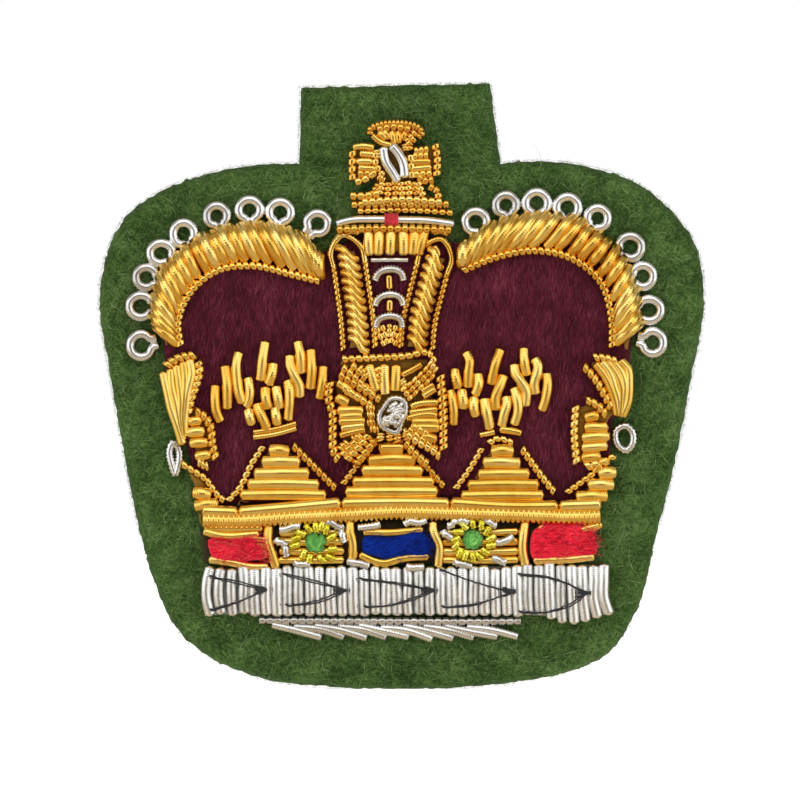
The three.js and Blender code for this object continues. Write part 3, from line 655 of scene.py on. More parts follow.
def pearls(side):
    for number, (x, z) in enumerate(PEARLS[side], 1):
        node = f"pearl_loop_{side}_{number}"
        centre = np.array([x, z]) * SQUARE
        outer = np.array(plan_line(ARCHES[side]["outer"]))
        foot = outer[np.linalg.norm(outer - centre, axis=1).argmin()]
        home = math.atan2(foot[1] - centre[1], foot[0] - centre[0])
        wire = 0.43
        larger = 0.1 if (side, number) == ("right", 9) else 0
        ring = 0.9 + rng.normal(0, 0.03) + larger
        turns = home + np.linspace(0.42, 2 * math.pi - 0.42, 11)
        loop = centre + ring * np.stack([np.cos(turns), np.sin(turns)], 1) * rng.normal(1, 0.03, 2)
        feet = [centre + (ring + 0.5) * np.array([math.cos(home + a), math.sin(home + a)])
                for a in (0.24, -0.24)]
        plan = np.vstack([feet[0], loop, feet[1]])
        height = np.full(len(plan), FELT + wire)
        height[[0, -1]] -= 0.1
        work = Work(f"pearl_{side}_{number}")
        work.put(*coil(lifted(plan, height), wire, dict(ROUGH, pitch=0.19, waist=0.9, sides=14)))
        work.build(SILVER, "silver", [node])


# ---- Ribs, column and orb ----

RIBS = {
    "left": [[-3.5, 3], [-3.65, 5.2], [-4, 8], [-4.3, 9.9], [-4.6, 11.2]],
    "right": [[1.25, 3], [1.45, 5.2], [2.1, 8], [2.5, 9.5], [2.9, 10.9]],
}
RIB_HALF = 1.3


def aside(points, distance):
    """Plan points moved to the left of their direction, in squares."""
    line = np.asarray(points, float)
    return line - right_of(unit(np.gradient(line, axis=0))) * distance


def rib(side):
    top = front_of(f"rib_purl_{side}")
    padding(f"rib_core_{side}", f"rib_purl_{side}", top - 0.55, 0.2)
    middle = plan_line(RIBS[side], 0.72) / SQUARE
    ahead = unit(np.gradient(middle, axis=0))
    twist = Work(f"rib_twist_{side}")
    for (x, z), (ax, az) in zip(middle[:-1], ahead):
        across = np.array([az, -ax])
        along = np.array([ax, az])
        here = np.array([x, z]) + 0.42 * along
        spots = [here - 0.72 * across + 0.6 * along, here - 0.3 * across + 0.45 * along,
                 here + 0.3 * across - 0.4 * along, here + 0.74 * across - 0.68 * along]
        path = np.array(spots) * SQUARE + rng.normal(0, 0.03, (4, 2))
        heights = top - 0.3 - np.array([0.42, 0.0, 0.02, 0.5])
        twist.put(*coil(lifted(path, heights), 0.32, SMOOTH))
    for x, z in middle[2::3]:
        twist.lay([[x - 0.35, z - 0.5], [x + 0.1, z], [x - 0.1, z + 0.6]], 0.2, top - 0.7, SMOOTH, jog=0.06)
    twist.build(GOLD, "gold_smooth", [f"rib_purl_{side}"])
    border = Work(f"rib_edging_{side}")
    up, down = aside(RIBS[side], RIB_HALF), aside(RIBS[side], -RIB_HALF)[::-1]
    before, end = np.array(RIBS[side][-2:])
    head = end + unit(end - before) * RIB_HALF
    whole = np.vstack([up, head, down])
    border.lay(whole, 0.33, CLOTH, dict(BEADS, pitch=0.47), slant=0.5, jog=0.01)
    crest = whole[len(up) - 2:len(up) + 3]
    border.lay(crest, 0.33, CLOTH + 0.15, ROUGH, jog=0.02)
    border.build(BEAD_GOLD, "gold_rough", [f"rib_border_{side}"])


def column():
    crescents = Work("column_crescents")
    crescents.lay([[-2.6, 10.4], [-1, 10.45], [0.65, 10.4]], 0.27, CLOTH, ROUGH)
    for z, reach in ((9.65, 1.25), (7.6, 1.2), (5.8, 1.2)):
        bow = [[-1 - reach, z - 1.0], [-1 - 0.75 * reach, z - 0.35], [-1, z], [-1 + 0.75 * reach, z - 0.3],
               [-1 + 0.98 * reach, z - 1.0]]
        crescents.lay(bow, 0.37, CLOTH + 0.1, ROUGH, bow=0.12)
    crescents.build(SILVER, "silver", ["column_pearls"])
    stems = Work("column_stems")
    for high, low in ((9.2, 7.95), (7.15, 6.1)):
        stems.lay([[-1.0, high], [-0.97, low]], 0.33, CLOTH)
    for a, b in (([-2.1, 5.0], [-1.4, 3.2]), ([-1.6, 5.1], [-1.1, 3.4]), ([0.1, 5.0], [-0.6, 3.2]),
                 ([-0.4, 5.1], [-0.9, 3.5]), ([-1, 5.2], [-1, 4])):
        stems.lay([a, b], 0.25, CLOTH, BEADS)
    stems.build(BEAD_GOLD, "gold_rough")


def orb():
    top = front_of("orb_purl")
    padding("orb_core", "orb_purl", top - 0.55)
    rows = Work("orb_rows")
    heads, feet = (-2.76, -1.83, -0.86, 0.17, 1.1, 1.98), (-2.67, -1.9, -0.94, 0.17, 0.9, 1.4)
    for head, foot in zip(heads, feet):
        rows.lay([[head, 12.85], [(head + foot) / 2, 11.9], [foot, 10.8]], 0.46, top - 0.95, dip=0.15)
    rows.build(GOLD, "gold_smooth", ["orb_purl"])
    beads = Work("orb_checks")
    beads.lay([[-5.4, 12.9], [-2, 13.0], [1, 12.97], [4.2, 12.9]], 0.36, top - 0.65, BEADS)
    beads.lay([[-4.6, 12.6], [-4.1, 12.75], [-3.5, 12.6]], 0.22, top - 0.6, ROUGH)
    beads.lay([[2.6, 12.6], [3.2, 12.75], [3.9, 12.5]], 0.22, top - 0.6, ROUGH)
    base = front_of("top_cross") - 1.3
    beads.lay([[-3.7, 14.4], [-2, 14.5], [1, 14.5], [4.3, 14.3]], 0.36, base + 0.3, dict(BEADS, pitch=0.62))
    beads.lay([[-4.2, 15.0], [-3, 15.05], [1, 15.0], [4.0, 15.05]], 0.37, base + 0.45, BEADS)
    beads.build(BEAD_GOLD, "gold_rough")
    band = Work("orb_silver_band")
    line = [[-5.4, 13.4], [-4.2, 13.7], [-2.5, 13.77], [0, 13.7], [2.3, 13.65], [4.3, 13.35]]
    band.lay(line, 0.39, CLOTH + 0.3, dict(ROUGH, pitch=0.19, waist=0.82))
    band.build(SILVER, "silver", ["orb_band"])
    wrap = Work("orb_red_wrap")
    for i in range(7):
        x = -1.32 + i * 0.16
        wrap.lay([[x, 13.15], [x + 0.02, 13.7], [x, 14.25]], 0.1, CLOTH + 0.75, bow=0.24, jog=0.01)
    wrap.build(RED_SILK, "red_felt")


# ---- Sprays ----

SPRAYS = {
    "left": [
        [[-15.4, 0.1], [-15.45, -1], [-15.35, -2], [-14.95, -3.05]],
        [[-14.65, 1.7], [-14.45, 0], [-14.4, -2]],
        [[-13.4, 2.8], [-13.6, 2.2], [-13.6, 0.5], [-13.4, -0.8], [-13.15, -1.45]],
        [[-12.75, 0.75], [-12.58, 0], [-12.55, -0.9], [-12.85, -1.8]], [[-12.75, -1.95], [-12.35, -3.2]],
        [[-12, -1.5], [-11.75, -2], [-11.35, -3], [-11.1, -3.5]],
        [[-10.5, -1.8], [-10.4, -2.5], [-10.25, -3.25]],
        [[-9.5, 0.5], [-9.3, -0.2], [-9.25, -1], [-9.4, -2.9]],
        [[-11.3, -0.1], [-11.25, -1], [-11, -1.95]], [[-10.4, 0], [-10.25, -1], [-10.1, -1.9]],
        [[-11.3, 3.75], [-11.5, 2], [-11.65, 0.35]], [[-10.6, 1.9], [-10.7, 0.9], [-11.05, 0.05]],
        [[-9.25, 2.6], [-9.2, 1.7], [-8.95, 0.95], [-8.5, 0.1], [-8.4, -1.05]],
        [[-8.65, 3.75], [-8.4, 2.8], [-8.25, 1]], [[-7.5, 3.05], [-7.45, 1.5], [-7.55, -0.35]],
        [[-6.4, 1.7], [-6.55, 0.2], [-6.8, -1.2]],
    ],
    "right": [
        [[3.95, -0.3], [4.2, -1], [4.35, -2], [4.3, -3.3]], [[4.4, 1.4], [4.65, -0.2]],
        [[5, -0.3], [5.1, -1.9]], [[5.25, 2.85], [5.6, 2.1], [5.55, 1.2], [5.5, -0.2]],
        [[6.3, 1.05], [6.4, 0], [6.05, -0.8]], [[6, -0.9], [5.95, -1.7], [6.15, -2.6]],
        [[8.2, 3.1], [7.85, 1.9], [7.35, 0.05]], [[8.5, 0.95], [8.1, -0.1], [7.75, -0.9], [7.85, -2.05]],
        [[6.85, -1], [7, -2], [7.3, -3.6]], [[8.55, -0.85], [8.7, -1.5], [8.5, -2.3], [8.25, -3.4]],
        [[9.25, -0.1], [9.55, -1], [9.65, -2], [9.3, -3.3]],
        [[9.3, 1.85], [9.4, 1], [9.85, 0.4], [10.25, -0.4], [10.2, -1.7]],
        [[10.1, 3.2], [10.15, 2], [10.4, 0.8]],
        [[10.95, 2.3], [11.3, 1.7], [11.2, 1], [11, 0.3], [11.1, -0.75]],
        [[12, 1.1], [12.1, 0.2], [11.95, -1], [11.6, -2.1]],
    ],
}


def spray(side):
    work = Work(f"spray_purls_{side}")
    for number, line in enumerate(SPRAYS[side]):
        work.lay(line, 0.46, CLOTH, SMOOTH, bow=0.16, dip=0.08, lift=0.04 * (number % 3))
    work.build(GOLD, "gold_smooth", [f"spray_{side}"])
    tie = Work(f"spray_tie_{side}")
    if side == "left":
        for drop in (0, 0.42):
            line = [[-12.35, -3.85 - drop], [-10.5, -3.6 - drop], [-8.6, -3.1 - drop]]
            tie.lay(line, 0.26, CLOTH + 0.3, ROUGH)
    else:
        tie.lay([[6.4, -4.1], [7.1, -3.95], [7.8, -3.8]], 0.28, CLOTH + 0.3, ROUGH)
        tie.lay([[8.1, -3.6], [9, -3.7], [10, -3.95]], 0.32, CLOTH + 0.3, SMOOTH)
    tie.build(BEAD_GOLD, "gold_rough", [f"spray_collar_{side}"])


# ---- Points of the circlet ----

# Rows are (z, from x, to x); the fine and bold edgings are lines of beads.
POINTS = {
    "far_left": dict(
        rows=[(-8.9, -17.3, -15.8), (-9.85, -17.2, -15.2)],
        fine=[[[-18.2, -6.4], [-17.3, -7], [-16.2, -7.7], [-15.4, -8.8], [-14.6, -9.6]]], bold=[]),
    "left": dict(
        rows=[(-5.35, -10.95, -9.3), (-6.3, -11.6, -8.4), (-7.25, -12.2, -7.6), (-8.15, -12.7, -6.8),
              (-9.05, -13.4, -6.2)],
        fine=[[[-11.4, -4.9], [-12.4, -6.4], [-13.5, -8.5], [-14.4, -9.6]]],
        bold=[[[-9, -4.85], [-7.5, -6.4], [-5.4, -8.5]]]),
    "centre": dict(
        rows=[(-5.2, -1.9, 0.2), (-6.1, -2.8, 1.2), (-7.0, -3.3, 1.8), (-7.95, -4.1, 2.7),
              (-8.8, -4.7, 3.0)],
        fine=[[[-2.1, -4.6], [-3.3, -6.1], [-4.9, -8.2]], [[-0.3, -4.3], [1.5, -6], [3.6, -8.4]]], bold=[]),
    "right": dict(
        rows=[(-5.4, 7.4, 9.3), (-6.35, 6.7, 9.8), (-7.3, 6.3, 10.6), (-8.2, 5.5, 11.4), (-9.1, 4.9, 11.8)],
        fine=[[[6.7, -5.1], [5.7, -6.7], [4.4, -8.6]], [[7.1, -4.75], [8, -4.4], [8.7, -4.5], [9.3, -4.8]]],
        bold=[[[9.9, -5.1], [11.2, -6.9], [12.7, -8.9]]]),
    "far_right": dict(
        rows=[(-7.2, 16.3, 17.8), (-8.2, 15.4, 17.6), (-9.15, 14.4, 17.1)],
        fine=[[[17.7, -5.8], [16.6, -6.4], [15.8, -7.3], [14.8, -8], [13.6, -8.9]]], bold=[]),
}


def point(side, form):
    node = f"point_{side}"
    top = front_of(node)
    padding(f"point_core_{side}", node, top - 0.75, 0.35)
    rows = Work(f"point_rows_{side}")
    for z, start, end in form["rows"]:
        tilt = rng.normal(0, 0.04)
        line = [[start, z - tilt], [(start + end) / 2, z + 0.04], [end, z + tilt]]
        rows.lay(line, 0.53, top - 0.95, dip=0.22, squash=0.88)
    rows.build(GOLD, "gold_smooth", [node])
    edging = Work(f"point_edging_{side}")
    edging.lay_each(form["fine"], 0.33, CLOTH + 0.1, BEADS, slant=0.3)
    edging.lay_each(form["bold"], 0.38, CLOTH + 0.1, BEADS, slant=0.4)
    edging.build(BEAD_GOLD, "gold_rough")


# ---- Crosses ----

# The purls of each kind, as plan points from end to end.
TOP_CROSS = {
    "beads": [
        [[-2.15, 19.4], [-2.1, 18.3], [-1.45, 17.3]], [[0.75, 19.2], [0.75, 18.3], [0.85, 17.1]],
        [[-2.05, 17.35], [-1.3, 16.95]], [[0.2, 20.05], [0.35, 19.4]],
        [[1.15, 20.55], [0.6, 19.9], [0.75, 19.45]], [[1.2, 21.1], [0.85, 20.7], [0.35, 20.1]],
        [[-3.9, 16.8], [-2.8, 17.25], [-2.2, 17.7]], [[-4.3, 15.7], [-2.9, 15.75], [-1.8, 16.0]],
        [[2.2, 16.5], [2.9, 16.2], [3.1, 15.5]], [[1.3, 17.3], [2.1, 17.0], [2.7, 17.1]],
        [[-2.1, 21.2], [-0.6, 21.45], [0.8, 21.2]],
    ],
    "ridged": [
        [[-2.5, 20.75], [-1.69, 20.15], [-0.73, 19.9]], [[-4.1, 19.75], [-3.2, 19.8], [-2.2, 19.7]],
        [[-3.5, 19.2], [-2.1, 19.15]], [[0.75, 17.95], [2.5, 18.1]], [[-3.6, 18.05], [-2.1, 17.95]],
    ],
    "smooth": [
        [[-0.78, 21.1], [-0.62, 20.05]], [[-0.28, 21.1], [-0.25, 20.05]], [[-1.9, 21], [-1.25, 20.45]],
        [[-1.45, 21.1], [-1.0, 20.5]], [[0.3, 21], [0.05, 20.4]], [[-3.75, 18.6], [-2.4, 18.55]],
        [[0.7, 18.5], [2.4, 18.6]],
    ],
    "bars": [
        [[-3.7, 17.55], [-2.0, 17.6]], [[1.0, 19.4], [2.3, 19.65]], [[0.95, 17.5], [2.6, 17.6]],
        [[0.9, 19.0], [2.3, 19.1]], [[-3.3, 15.2], [0.5, 15.4], [3.4, 15.2]],
        [[-2.0, 18.7], [-2.05, 19.6]],
    ],
}

FRONT_CROSS = {
    "smooth": [
        [[-2.7, 1.79], [-2.45, 0.9], [-2.07, -0.46]], [[-1.43, 1.79], [-1.35, -0.85]],
        [[-0.41, 1.79], [-0.54, -0.51]], [[-5.43, -0.93], [-4.41, -1.44]],
        [[-5.34, -2.04], [-3.13, -2.04]], [[-5.2, -2.55], [-3.2, -2.5]], [[0.69, -3.4], [3.16, -3.48]],
        [[1.63, -4.16], [2.99, -4.42]], [[-5.0, 0.15], [-4.2, -0.4]], [[0.75, -3.0], [3.1, -3.0]],
    ],
    "borders": [
        [[-5.94, 0.43], [-6.02, -0.93], [-5.77, -2.29], [-5.68, -3.82], [-5.6, -5.35], [-5.17, -6.2]],
        [[3.16, 0.94], [3.33, -0.42], [3.41, -2.12], [3.5, -3.82], [3.5, -5.35]],
    ],
    "ridged": [
        [[-5.26, -2.97], [-2.96, -2.89]], [[-5.17, -4.16], [-4, -3.85], [-2.96, -3.65]],
        [[-5.1, -3.5], [-3.0, -3.25]], [[-1.77, -5.05], [0.18, -5.05]],
        [[0.69, -1.7], [1.29, -1.53], [3.07, -1.36]], [[0.35, -2.72], [2.14, -2.38], [2.99, -2.46]],
        [[0.6, -2.2], [3.0, -1.95]], [[0.01, 0.85], [0.9, 1.35], [1.71, 1.83]],
        [[1.71, -0.93], [2.82, -0.25]], [[1.6, -0.5], [2.7, 0.15]],
    ],
    "slants": [
        [[-4.96, 1.66], [-2.28, -0.76]], [[-5.2, 1.0], [-1.69, -1.27]],
        [[-5.34, 0.34], [-3.56, -1.0], [-2.3, -1.7]], [[-4.15, 1.79], [-2.88, 0.51]],
        [[-3.5, 1.6], [-2.88, 0.75]], [[-3.4, 0.2], [-2.2, -0.9]], [[-5.09, -5.27], [-4.41, -4.67]],
        [[-2.71, -3.99], [-3.5, -5.0], [-4.58, -6.2]], [[-3.4, -4.1], [-4.95, -5.8]],
        [[-2.11, -4.3], [-3.1, -5.6], [-3.9, -6.6]], [[-1.69, -3.9], [-1.75, -4.55]],
        [[-0.9, -3.85], [-1.0, -4.5]], [[-0.33, -4.0], [-0.35, -4.6]], [[0.3, -3.7], [0.45, -4.4]],
        [[-4.1, -4.4], [-3.3, -4.1]], [[0.01, -3.6], [1.29, -4.6], [2.56, -5.3], [3.3, -6.0]],
        [[0.5, -3.5], [1.7, -4.5], [3.0, -5.35]], [[0.27, -4.59], [1.12, -5.61], [2.22, -6.54]],
        [[0.1, -0.08], [0.78, -1.19]], [[0.52, 0.26], [1.29, -0.76]], [[0.95, 0.68], [1.71, -0.25]],
        [[1.46, 1.11], [2.22, 0.17]], [[1.88, 1.53], [2.65, 0.6]], [[2.3, 2.0], [2.9, 1.2]],
        [[0.05, 0.5], [0.3, 0.0]], [[-2.9, -1.75], [-2.2, -1.9]], [[-2.8, -2.35], [-2.2, -2.4]],
        [[-2.8, -3.0], [-2.2, -3.0]], [[-2.6, -3.5], [-1.9, -3.6]], [[-4.7, -0.3], [-3.3, -1.1]],
        [[0.9, -3.3], [2.2, -4.0]], [[-1.9, 1.6], [-1.75, 0.2]],
    ],
}

SIDE_CROSSES = {
    "left": dict(
        outer=[[-19.75, 1.2], [-19.55, -0.5], [-19.1, -1.8], [-18.65, -3.3], [-18.05, -4.8]],
        inner=[[-17.5, 2.3], [-17.4, 1], [-17.65, -0.5], [-17.95, -2.2], [-18, -3.9]],
        beads=[[[-16.75, 2.15], [-16.75, 1.1], [-17, 0.1], [-17.4, -1.15], [-17.7, -2.4]],
               [[-17.1, -2], [-16.2, -2.6], [-15.8, -3.4], [-15.6, -4.9], [-15.3, -6.1]],
               [[-16.9, -6.2], [-16.4, -6.5], [-15.9, -6.7]], [[-19.6, 1.6], [-18.4, 2.35], [-17, 2.6]]],
        rows=[(-2.9, -17.6, -16.6), (-3.8, -17.8, -16.3), (-4.7, -17.5, -16), (-5.7, -17.1, -15.8)],
        loop=[[-18.9, -4.7], [-19.25, -5.4], [-19.1, -6.4], [-18.75, -7.3], [-18.4, -6.4], [-18.45, -5.3]]),
    "right": dict(
        outer=[[18, 2.1], [18.7, 1.3], [18.9, 0.2], [18.7, -1.2], [18.2, -2.6]],
        inner=[[16.05, 1.9], [16.8, 0.8], [17.25, -0.3], [17.65, -1.4], [17.9, -2.5]],
        beads=[[[15.8, 2.4], [16.6, 2.35], [17.3, 2.2], [17.9, 2]],
               [[15, 1.7], [15.9, 0.7], [16.7, -0.6], [17.4, -1.85]],
               [[14.4, -1.6], [14.3, -3.9], [14.5, -6.5]], [[15.2, -1.1], [16.2, -1.6], [17, -2.5]],
               [[15.1, -6.7], [16.2, -6.45], [17.1, -6.1]]],
        rows=[(-2.5, 15.2, 16.3), (-3.4, 15.1, 17.1), (-4.2, 14.9, 17.2), (-5.05, 14.9, 17),
              (-5.85, 14.9, 16.5)],
        loop=[[17.8, -3.7], [18.5, -3.3], [19.1, -3.8], [19.15, -4.8], [18.6, -5.35], [17.9, -4.9]]),
}


def top_cross():
    top = front_of("top_cross")
    padding("top_cross_core", "top_cross", top - 0.75, 0.45)
    base = top - 0.6
    work = Work("top_cross_purls")
    rim = [[-2.6, 20.75], [-2.56, 21.25], [-1.85, 21.62], [-0.57, 21.75], [0.55, 21.65], [1.45, 21.35],
           [1.7, 20.95], [1.3, 20.5]]
    work.lay(rim, 0.33, base, dict(BEADS, pitch=0.34))
    work.lay_each(TOP_CROSS["beads"], 0.36, base, BEADS)
    work.lay([[-4.07, 19.5], [-4.1, 18.4], [-4.05, 17.0]], 0.38, base - 0.1, BEADS, slant=0.2)
    work.lay([[2.75, 20.1], [2.95, 18.9], [2.9, 17.3]], 0.38, base - 0.1, BEADS, slant=0.2)
    work.lay_each(TOP_CROSS["ridged"], 0.34, base, ROUGH)
    work.lay_each(TOP_CROSS["smooth"], 0.3, base, bow=0.1)
    work.lay_each(TOP_CROSS["bars"], 0.36, base, BEADS)
    for x in np.arange(-2.4, 2.3, 0.62):
        work.lay([[0.75 * x - 0.1, 17.05 - 0.1 * abs(x)], [x, 15.7]], 0.36, base - 0.1, BEADS, jog=0.06)
    work.build(BEAD_GOLD, "gold_rough", ["top_cross"])
    gem = Work("top_cross_loop")
    gem.lay([[-1.55, 19.75], [-1.3, 18.55], [-0.85, 17.75], [-0.25, 16.85]], 0.4, top - 0.3)
    gem.lay([[-0.85, 19.9], [-0.26, 19.2], [0.15, 18.3], [0.3, 17.2]], 0.42, top - 0.3)
    gem.build(SILVER, "silver", ["top_cross_gem"])


def front_cross():
    top = front_of("front_cross")
    padding("front_cross_core", "front_cross", top - 0.85, 0.6)
    base = top - 0.66
    smooth = Work("front_cross_smooth")
    smooth.lay_each(FRONT_CROSS["smooth"], 0.44, base - 0.15, bow=0.1, squash=0.85)
    smooth.build(GOLD, "gold_smooth", ["front_cross"])
    rough = Work("front_cross_rough")
    head = [[-4.96, 2.21], [-2.5, 2.32], [0.27, 2.47], [2.4, 2.6], [2.75, 1.87]]
    rough.lay(head, 0.34, base, BEADS, slant=0.2)
    rough.lay_each(FRONT_CROSS["borders"], 0.43, base - 0.2, BEADS, slant=0.4)
    rough.lay_each(FRONT_CROSS["ridged"], 0.36, base, ROUGH)
    rough.lay_each(FRONT_CROSS["slants"], 0.39, base - 0.1, BEADS, slant=0.2, bow=0.08)
    rough.build(BEAD_GOLD, "gold_rough")
    gem_top = front_of("front_cross_gem")
    gem = Work("front_cross_knot")
    centre, turn = np.array([-0.71, -2.38]), 0.28
    ahead = np.array([math.sin(turn), math.cos(turn)])
    across = np.array([math.cos(turn), -math.sin(turn)])
    wire = dict(ROUGH, pitch=0.3)
    loop = [centre + 1.4 * math.cos(a) * ahead + 1.0 * math.sin(a) * across
            for a in np.linspace(0, 2 * math.pi, 11)[:-1]]
    gem.lay(loop, 0.27, top - 0.15, wire, closed=True, jog=0.1)
    for _ in range(30):
        turned, reach = rng.uniform(0, 2 * math.pi), rng.uniform(0, 1) ** 0.5
        spot = centre + reach * (1.05 * math.cos(turned) * ahead + 0.72 * math.sin(turned) * across)
        swing = rng.normal(0.4, 0.8)
        half = 0.32 * (math.cos(swing) * ahead + math.sin(swing) * across)
        lift = 0.35 * (1 - reach * reach)
        line = [spot - half, spot, spot + half]
        gem.lay(line, 0.21, gem_top - 0.95, wire, lift=lift, bow=0.16, jog=0.1)
    gem.build(SILVER, "silver", ["front_cross_gem"])


def side_crosses():
    top = front_of("side_cross_left")
    for side in ("left", "right"):
        padding(f"side_cross_core_{side}", f"side_cross_{side}", top - 0.7, 0.4)
    base = top - 0.6
    for side, form in SIDE_CROSSES.items():
        work = Work(f"side_cross_purls_{side}")
        outer, inner = np.array(form["outer"]), np.array(form["inner"])
        for t in np.linspace(0, 1, 5):
            work.lay((1 - t) * outer + t * inner, 0.4, base - 0.15, SMOOTH, bow=0.12, jog=0.05)
        work.lay_each(form["beads"], 0.39, base - 0.1, BEADS, slant=0.4)
        for z, a, b in form["rows"]:
            work.lay([[a, z - 0.08], [b, z + 0.05]], 0.46, base - 0.3, dip=0.1, bow=0.05)
        work.build(GOLD, "gold_smooth", [f"side_cross_{side}"])
        pearl = Work(f"side_loop_{side}")
        pearl.lay(form["loop"], 0.39, FELT, dict(ROUGH, pitch=0.28), closed=True)
        pearl.build(SILVER, "silver", [f"side_pearl_{side}"])


# ---- Circlet ----

RUBIES = {
    "left": [[-15.9, -12.6], [-15, -12.75], [-11.6, -12.7], [-11.2, -14.2], [-12.5, -14.45],
             [-15.7, -14.1]],
    "right": [[10.8, -12.15], [15.9, -12.2], [16.1, -13.8], [13.8, -14.05], [10.8, -14.2]],
}
SAPPHIRE = [[-3.2, -12.6], [-1, -12.5], [1.7, -12.1], [2.4, -12.9], [2.3, -13.9], [0, -14.1], [-1.2, -14.35],
            [-2.1, -14.1], [-3.15, -13.8]]
RAILS = [
    [[-16.4, -12], [-15.3, -12.35], [-11.8, -12.3]],
    [[-16.0, -14.35], [-14, -14.65], [-12.5, -14.95], [-11, -14.95]],
    [[11.3, -11.75], [15.5, -11.8], [16.6, -11.4]], [[10.9, -14.45], [14, -14.35], [16, -14.1]],
    [[-3.2, -12.15], [-0.8, -12.15], [1.8, -11.9]],
    [[-3.5, -13.95], [-1.5, -14.65], [0, -14.3], [2.3, -14.1]],
    [[-16.4, -11.75], [-14, -11.8], [-11.5, -11.75]],
]
POSTS = [
    [[-10.95, -11.5], [-11.05, -12.8], [-10.75, -13.8], [-10.35, -15.1]],
    [[-4.25, -11.1], [-4.25, -12], [-4.05, -13], [-4.05, -14.5]],
    [[2.6, -11.2], [2.65, -12], [3.1, -13.2], [3, -15]],
    [[10.3, -11.2], [10.1, -12.2], [10, -13.5], [10.3, -14.9]],
]
KNOTS = {
    "left": dict(centre=(-7.1, -12.95), reach=0.9, chips=[
        (-8.3, -12.2), (-8.7, -12.6), (-8.8, -13.2), (-8.1, -13.9), (-7.6, -14.3), (-6.6, -14.3),
        (-5.9, -14.2), (-5.7, -13.5), (-5.8, -12.5), (-6.2, -11.9), (-6.6, -11.6), (-7.1, -11.7),
        (-7.7, -11.8)]),
    "right": dict(centre=(5.9, -12.7), reach=0.85, chips=[
        (4.7, -12.1), (4.5, -12.7), (4.5, -13.2), (4.8, -13.8), (5.3, -14), (5.9, -14.15), (6.4, -14.1),
        (6.9, -13.7), (7.4, -13.2), (7.4, -12.6), (7.1, -12), (6.6, -11.5), (5.9, -11.4), (5.2, -11.6)]),
}
SILVER_CHIPS = [
    [(-10.1, -11.9), (-8.4, -11.5)], [(-10.5, -12.7), (-9.5, -13.2)], [(-9.7, -13.2), (-9.5, -14.1)],
    [(-8.9, -14.5), (-7.6, -14.85)], [(-6.3, -11.2), (-4.7, -11.8)], [(-5.1, -12.1), (-4.7, -12.9)],
    [(-3.7, -11.8), (-1.7, -11.4)], [(0.1, -11.3), (2.1, -11.2)], [(3.4, -12), (4, -12.6)],
    [(3.8, -11.6), (4.6, -11.1)], [(4.7, -11.1), (5.5, -11.2)], [(-4.6, -14.5), (-2.7, -14.85)],
    [(0.4, -14.9), (1.9, -15)], [(4.3, -14.5), (5.7, -14.9)], [(6.9, -11.1), (7.9, -11.6)],
    [(7.8, -13), (9.3, -12.5)], [(7.5, -14.2), (8.7, -14.5)],
]
ROPE_LINE = [[-16.55, -11.1], [-13, -11.15], [-10, -10.9], [-5, -10.6], [0, -10.45], [5, -10.5],
             [10, -10.65], [14.5, -10.8], [16.6, -10.75]]
LONG_ROW = [[-16.6, -10.35], [-13.5, -10.45], [-10, -10.15], [-5, -9.7], [0, -9.65], [4, -9.7], [9, -9.95],
            [13, -9.95], [16.6, -9.8]]


def circlet():
    top = front_of("circlet_rope")
    padding("circlet_core", "circlet_rope", top - 0.9)
    rows = Work("circlet_long_row")
    line = np.array(LONG_ROW)
    gap = [0.04, 0]
    for a, b in ((0, 1), (1, 3), (3, 5), (5, 7), (7, 8)):
        part = line[a:b + 1]
        rows.lay(np.vstack([part[0] + gap, part[1:-1], part[-1] - gap]), 0.52, top - 1.05)
    rows.build(GOLD, "gold_smooth")
    rope = Work("circlet_beaded_rope")
    rope.lay(ROPE_LINE, 0.74, top - 1.2, ROPE, squash=0.85, jog=0.02)
    rope.build(BEAD_GOLD, "gold_rough", ["circlet_rope"])

    band_top = front_of("jewel_band")
    padding("band_core", "jewel_band", band_top - 0.45, 0.1, DARK_FELT)
    field = Work("band_field")
    for z in (-12.15, -12.95, -13.75, -14.5):
        for start, end in ((-10.2, -4.7), (3.4, 9.7)):
            field.lay([[start, z + 0.05], [(start + end) / 2, z], [end, z + 0.1]], 0.36, band_top - 0.6)
    field.lay_each(RAILS, 0.38, band_top - 0.4, bow=0.08)
    field.lay_each(POSTS, 0.43, band_top - 0.4, bow=0.1, dip=0.1)
    for k in range(7):
        z = -12.55 - 0.24 * k
        stitch = [[-12.6 + 0.3 * (k % 2), z], [-11.9, z - 0.06], [-11.1, z - 0.12]]
        field.lay(stitch, 0.12, band_top + 0.15, bow=0.06)
    field.build(GOLD, "gold_smooth", ["jewel_band"])
    chips = Work("band_silver_chips")
    chips.lay_each(SILVER_CHIPS, 0.37, band_top - 0.15, dict(ROUGH, pitch=0.27), bow=0.15, jog=0.06)
    chips.build(SILVER, "silver")


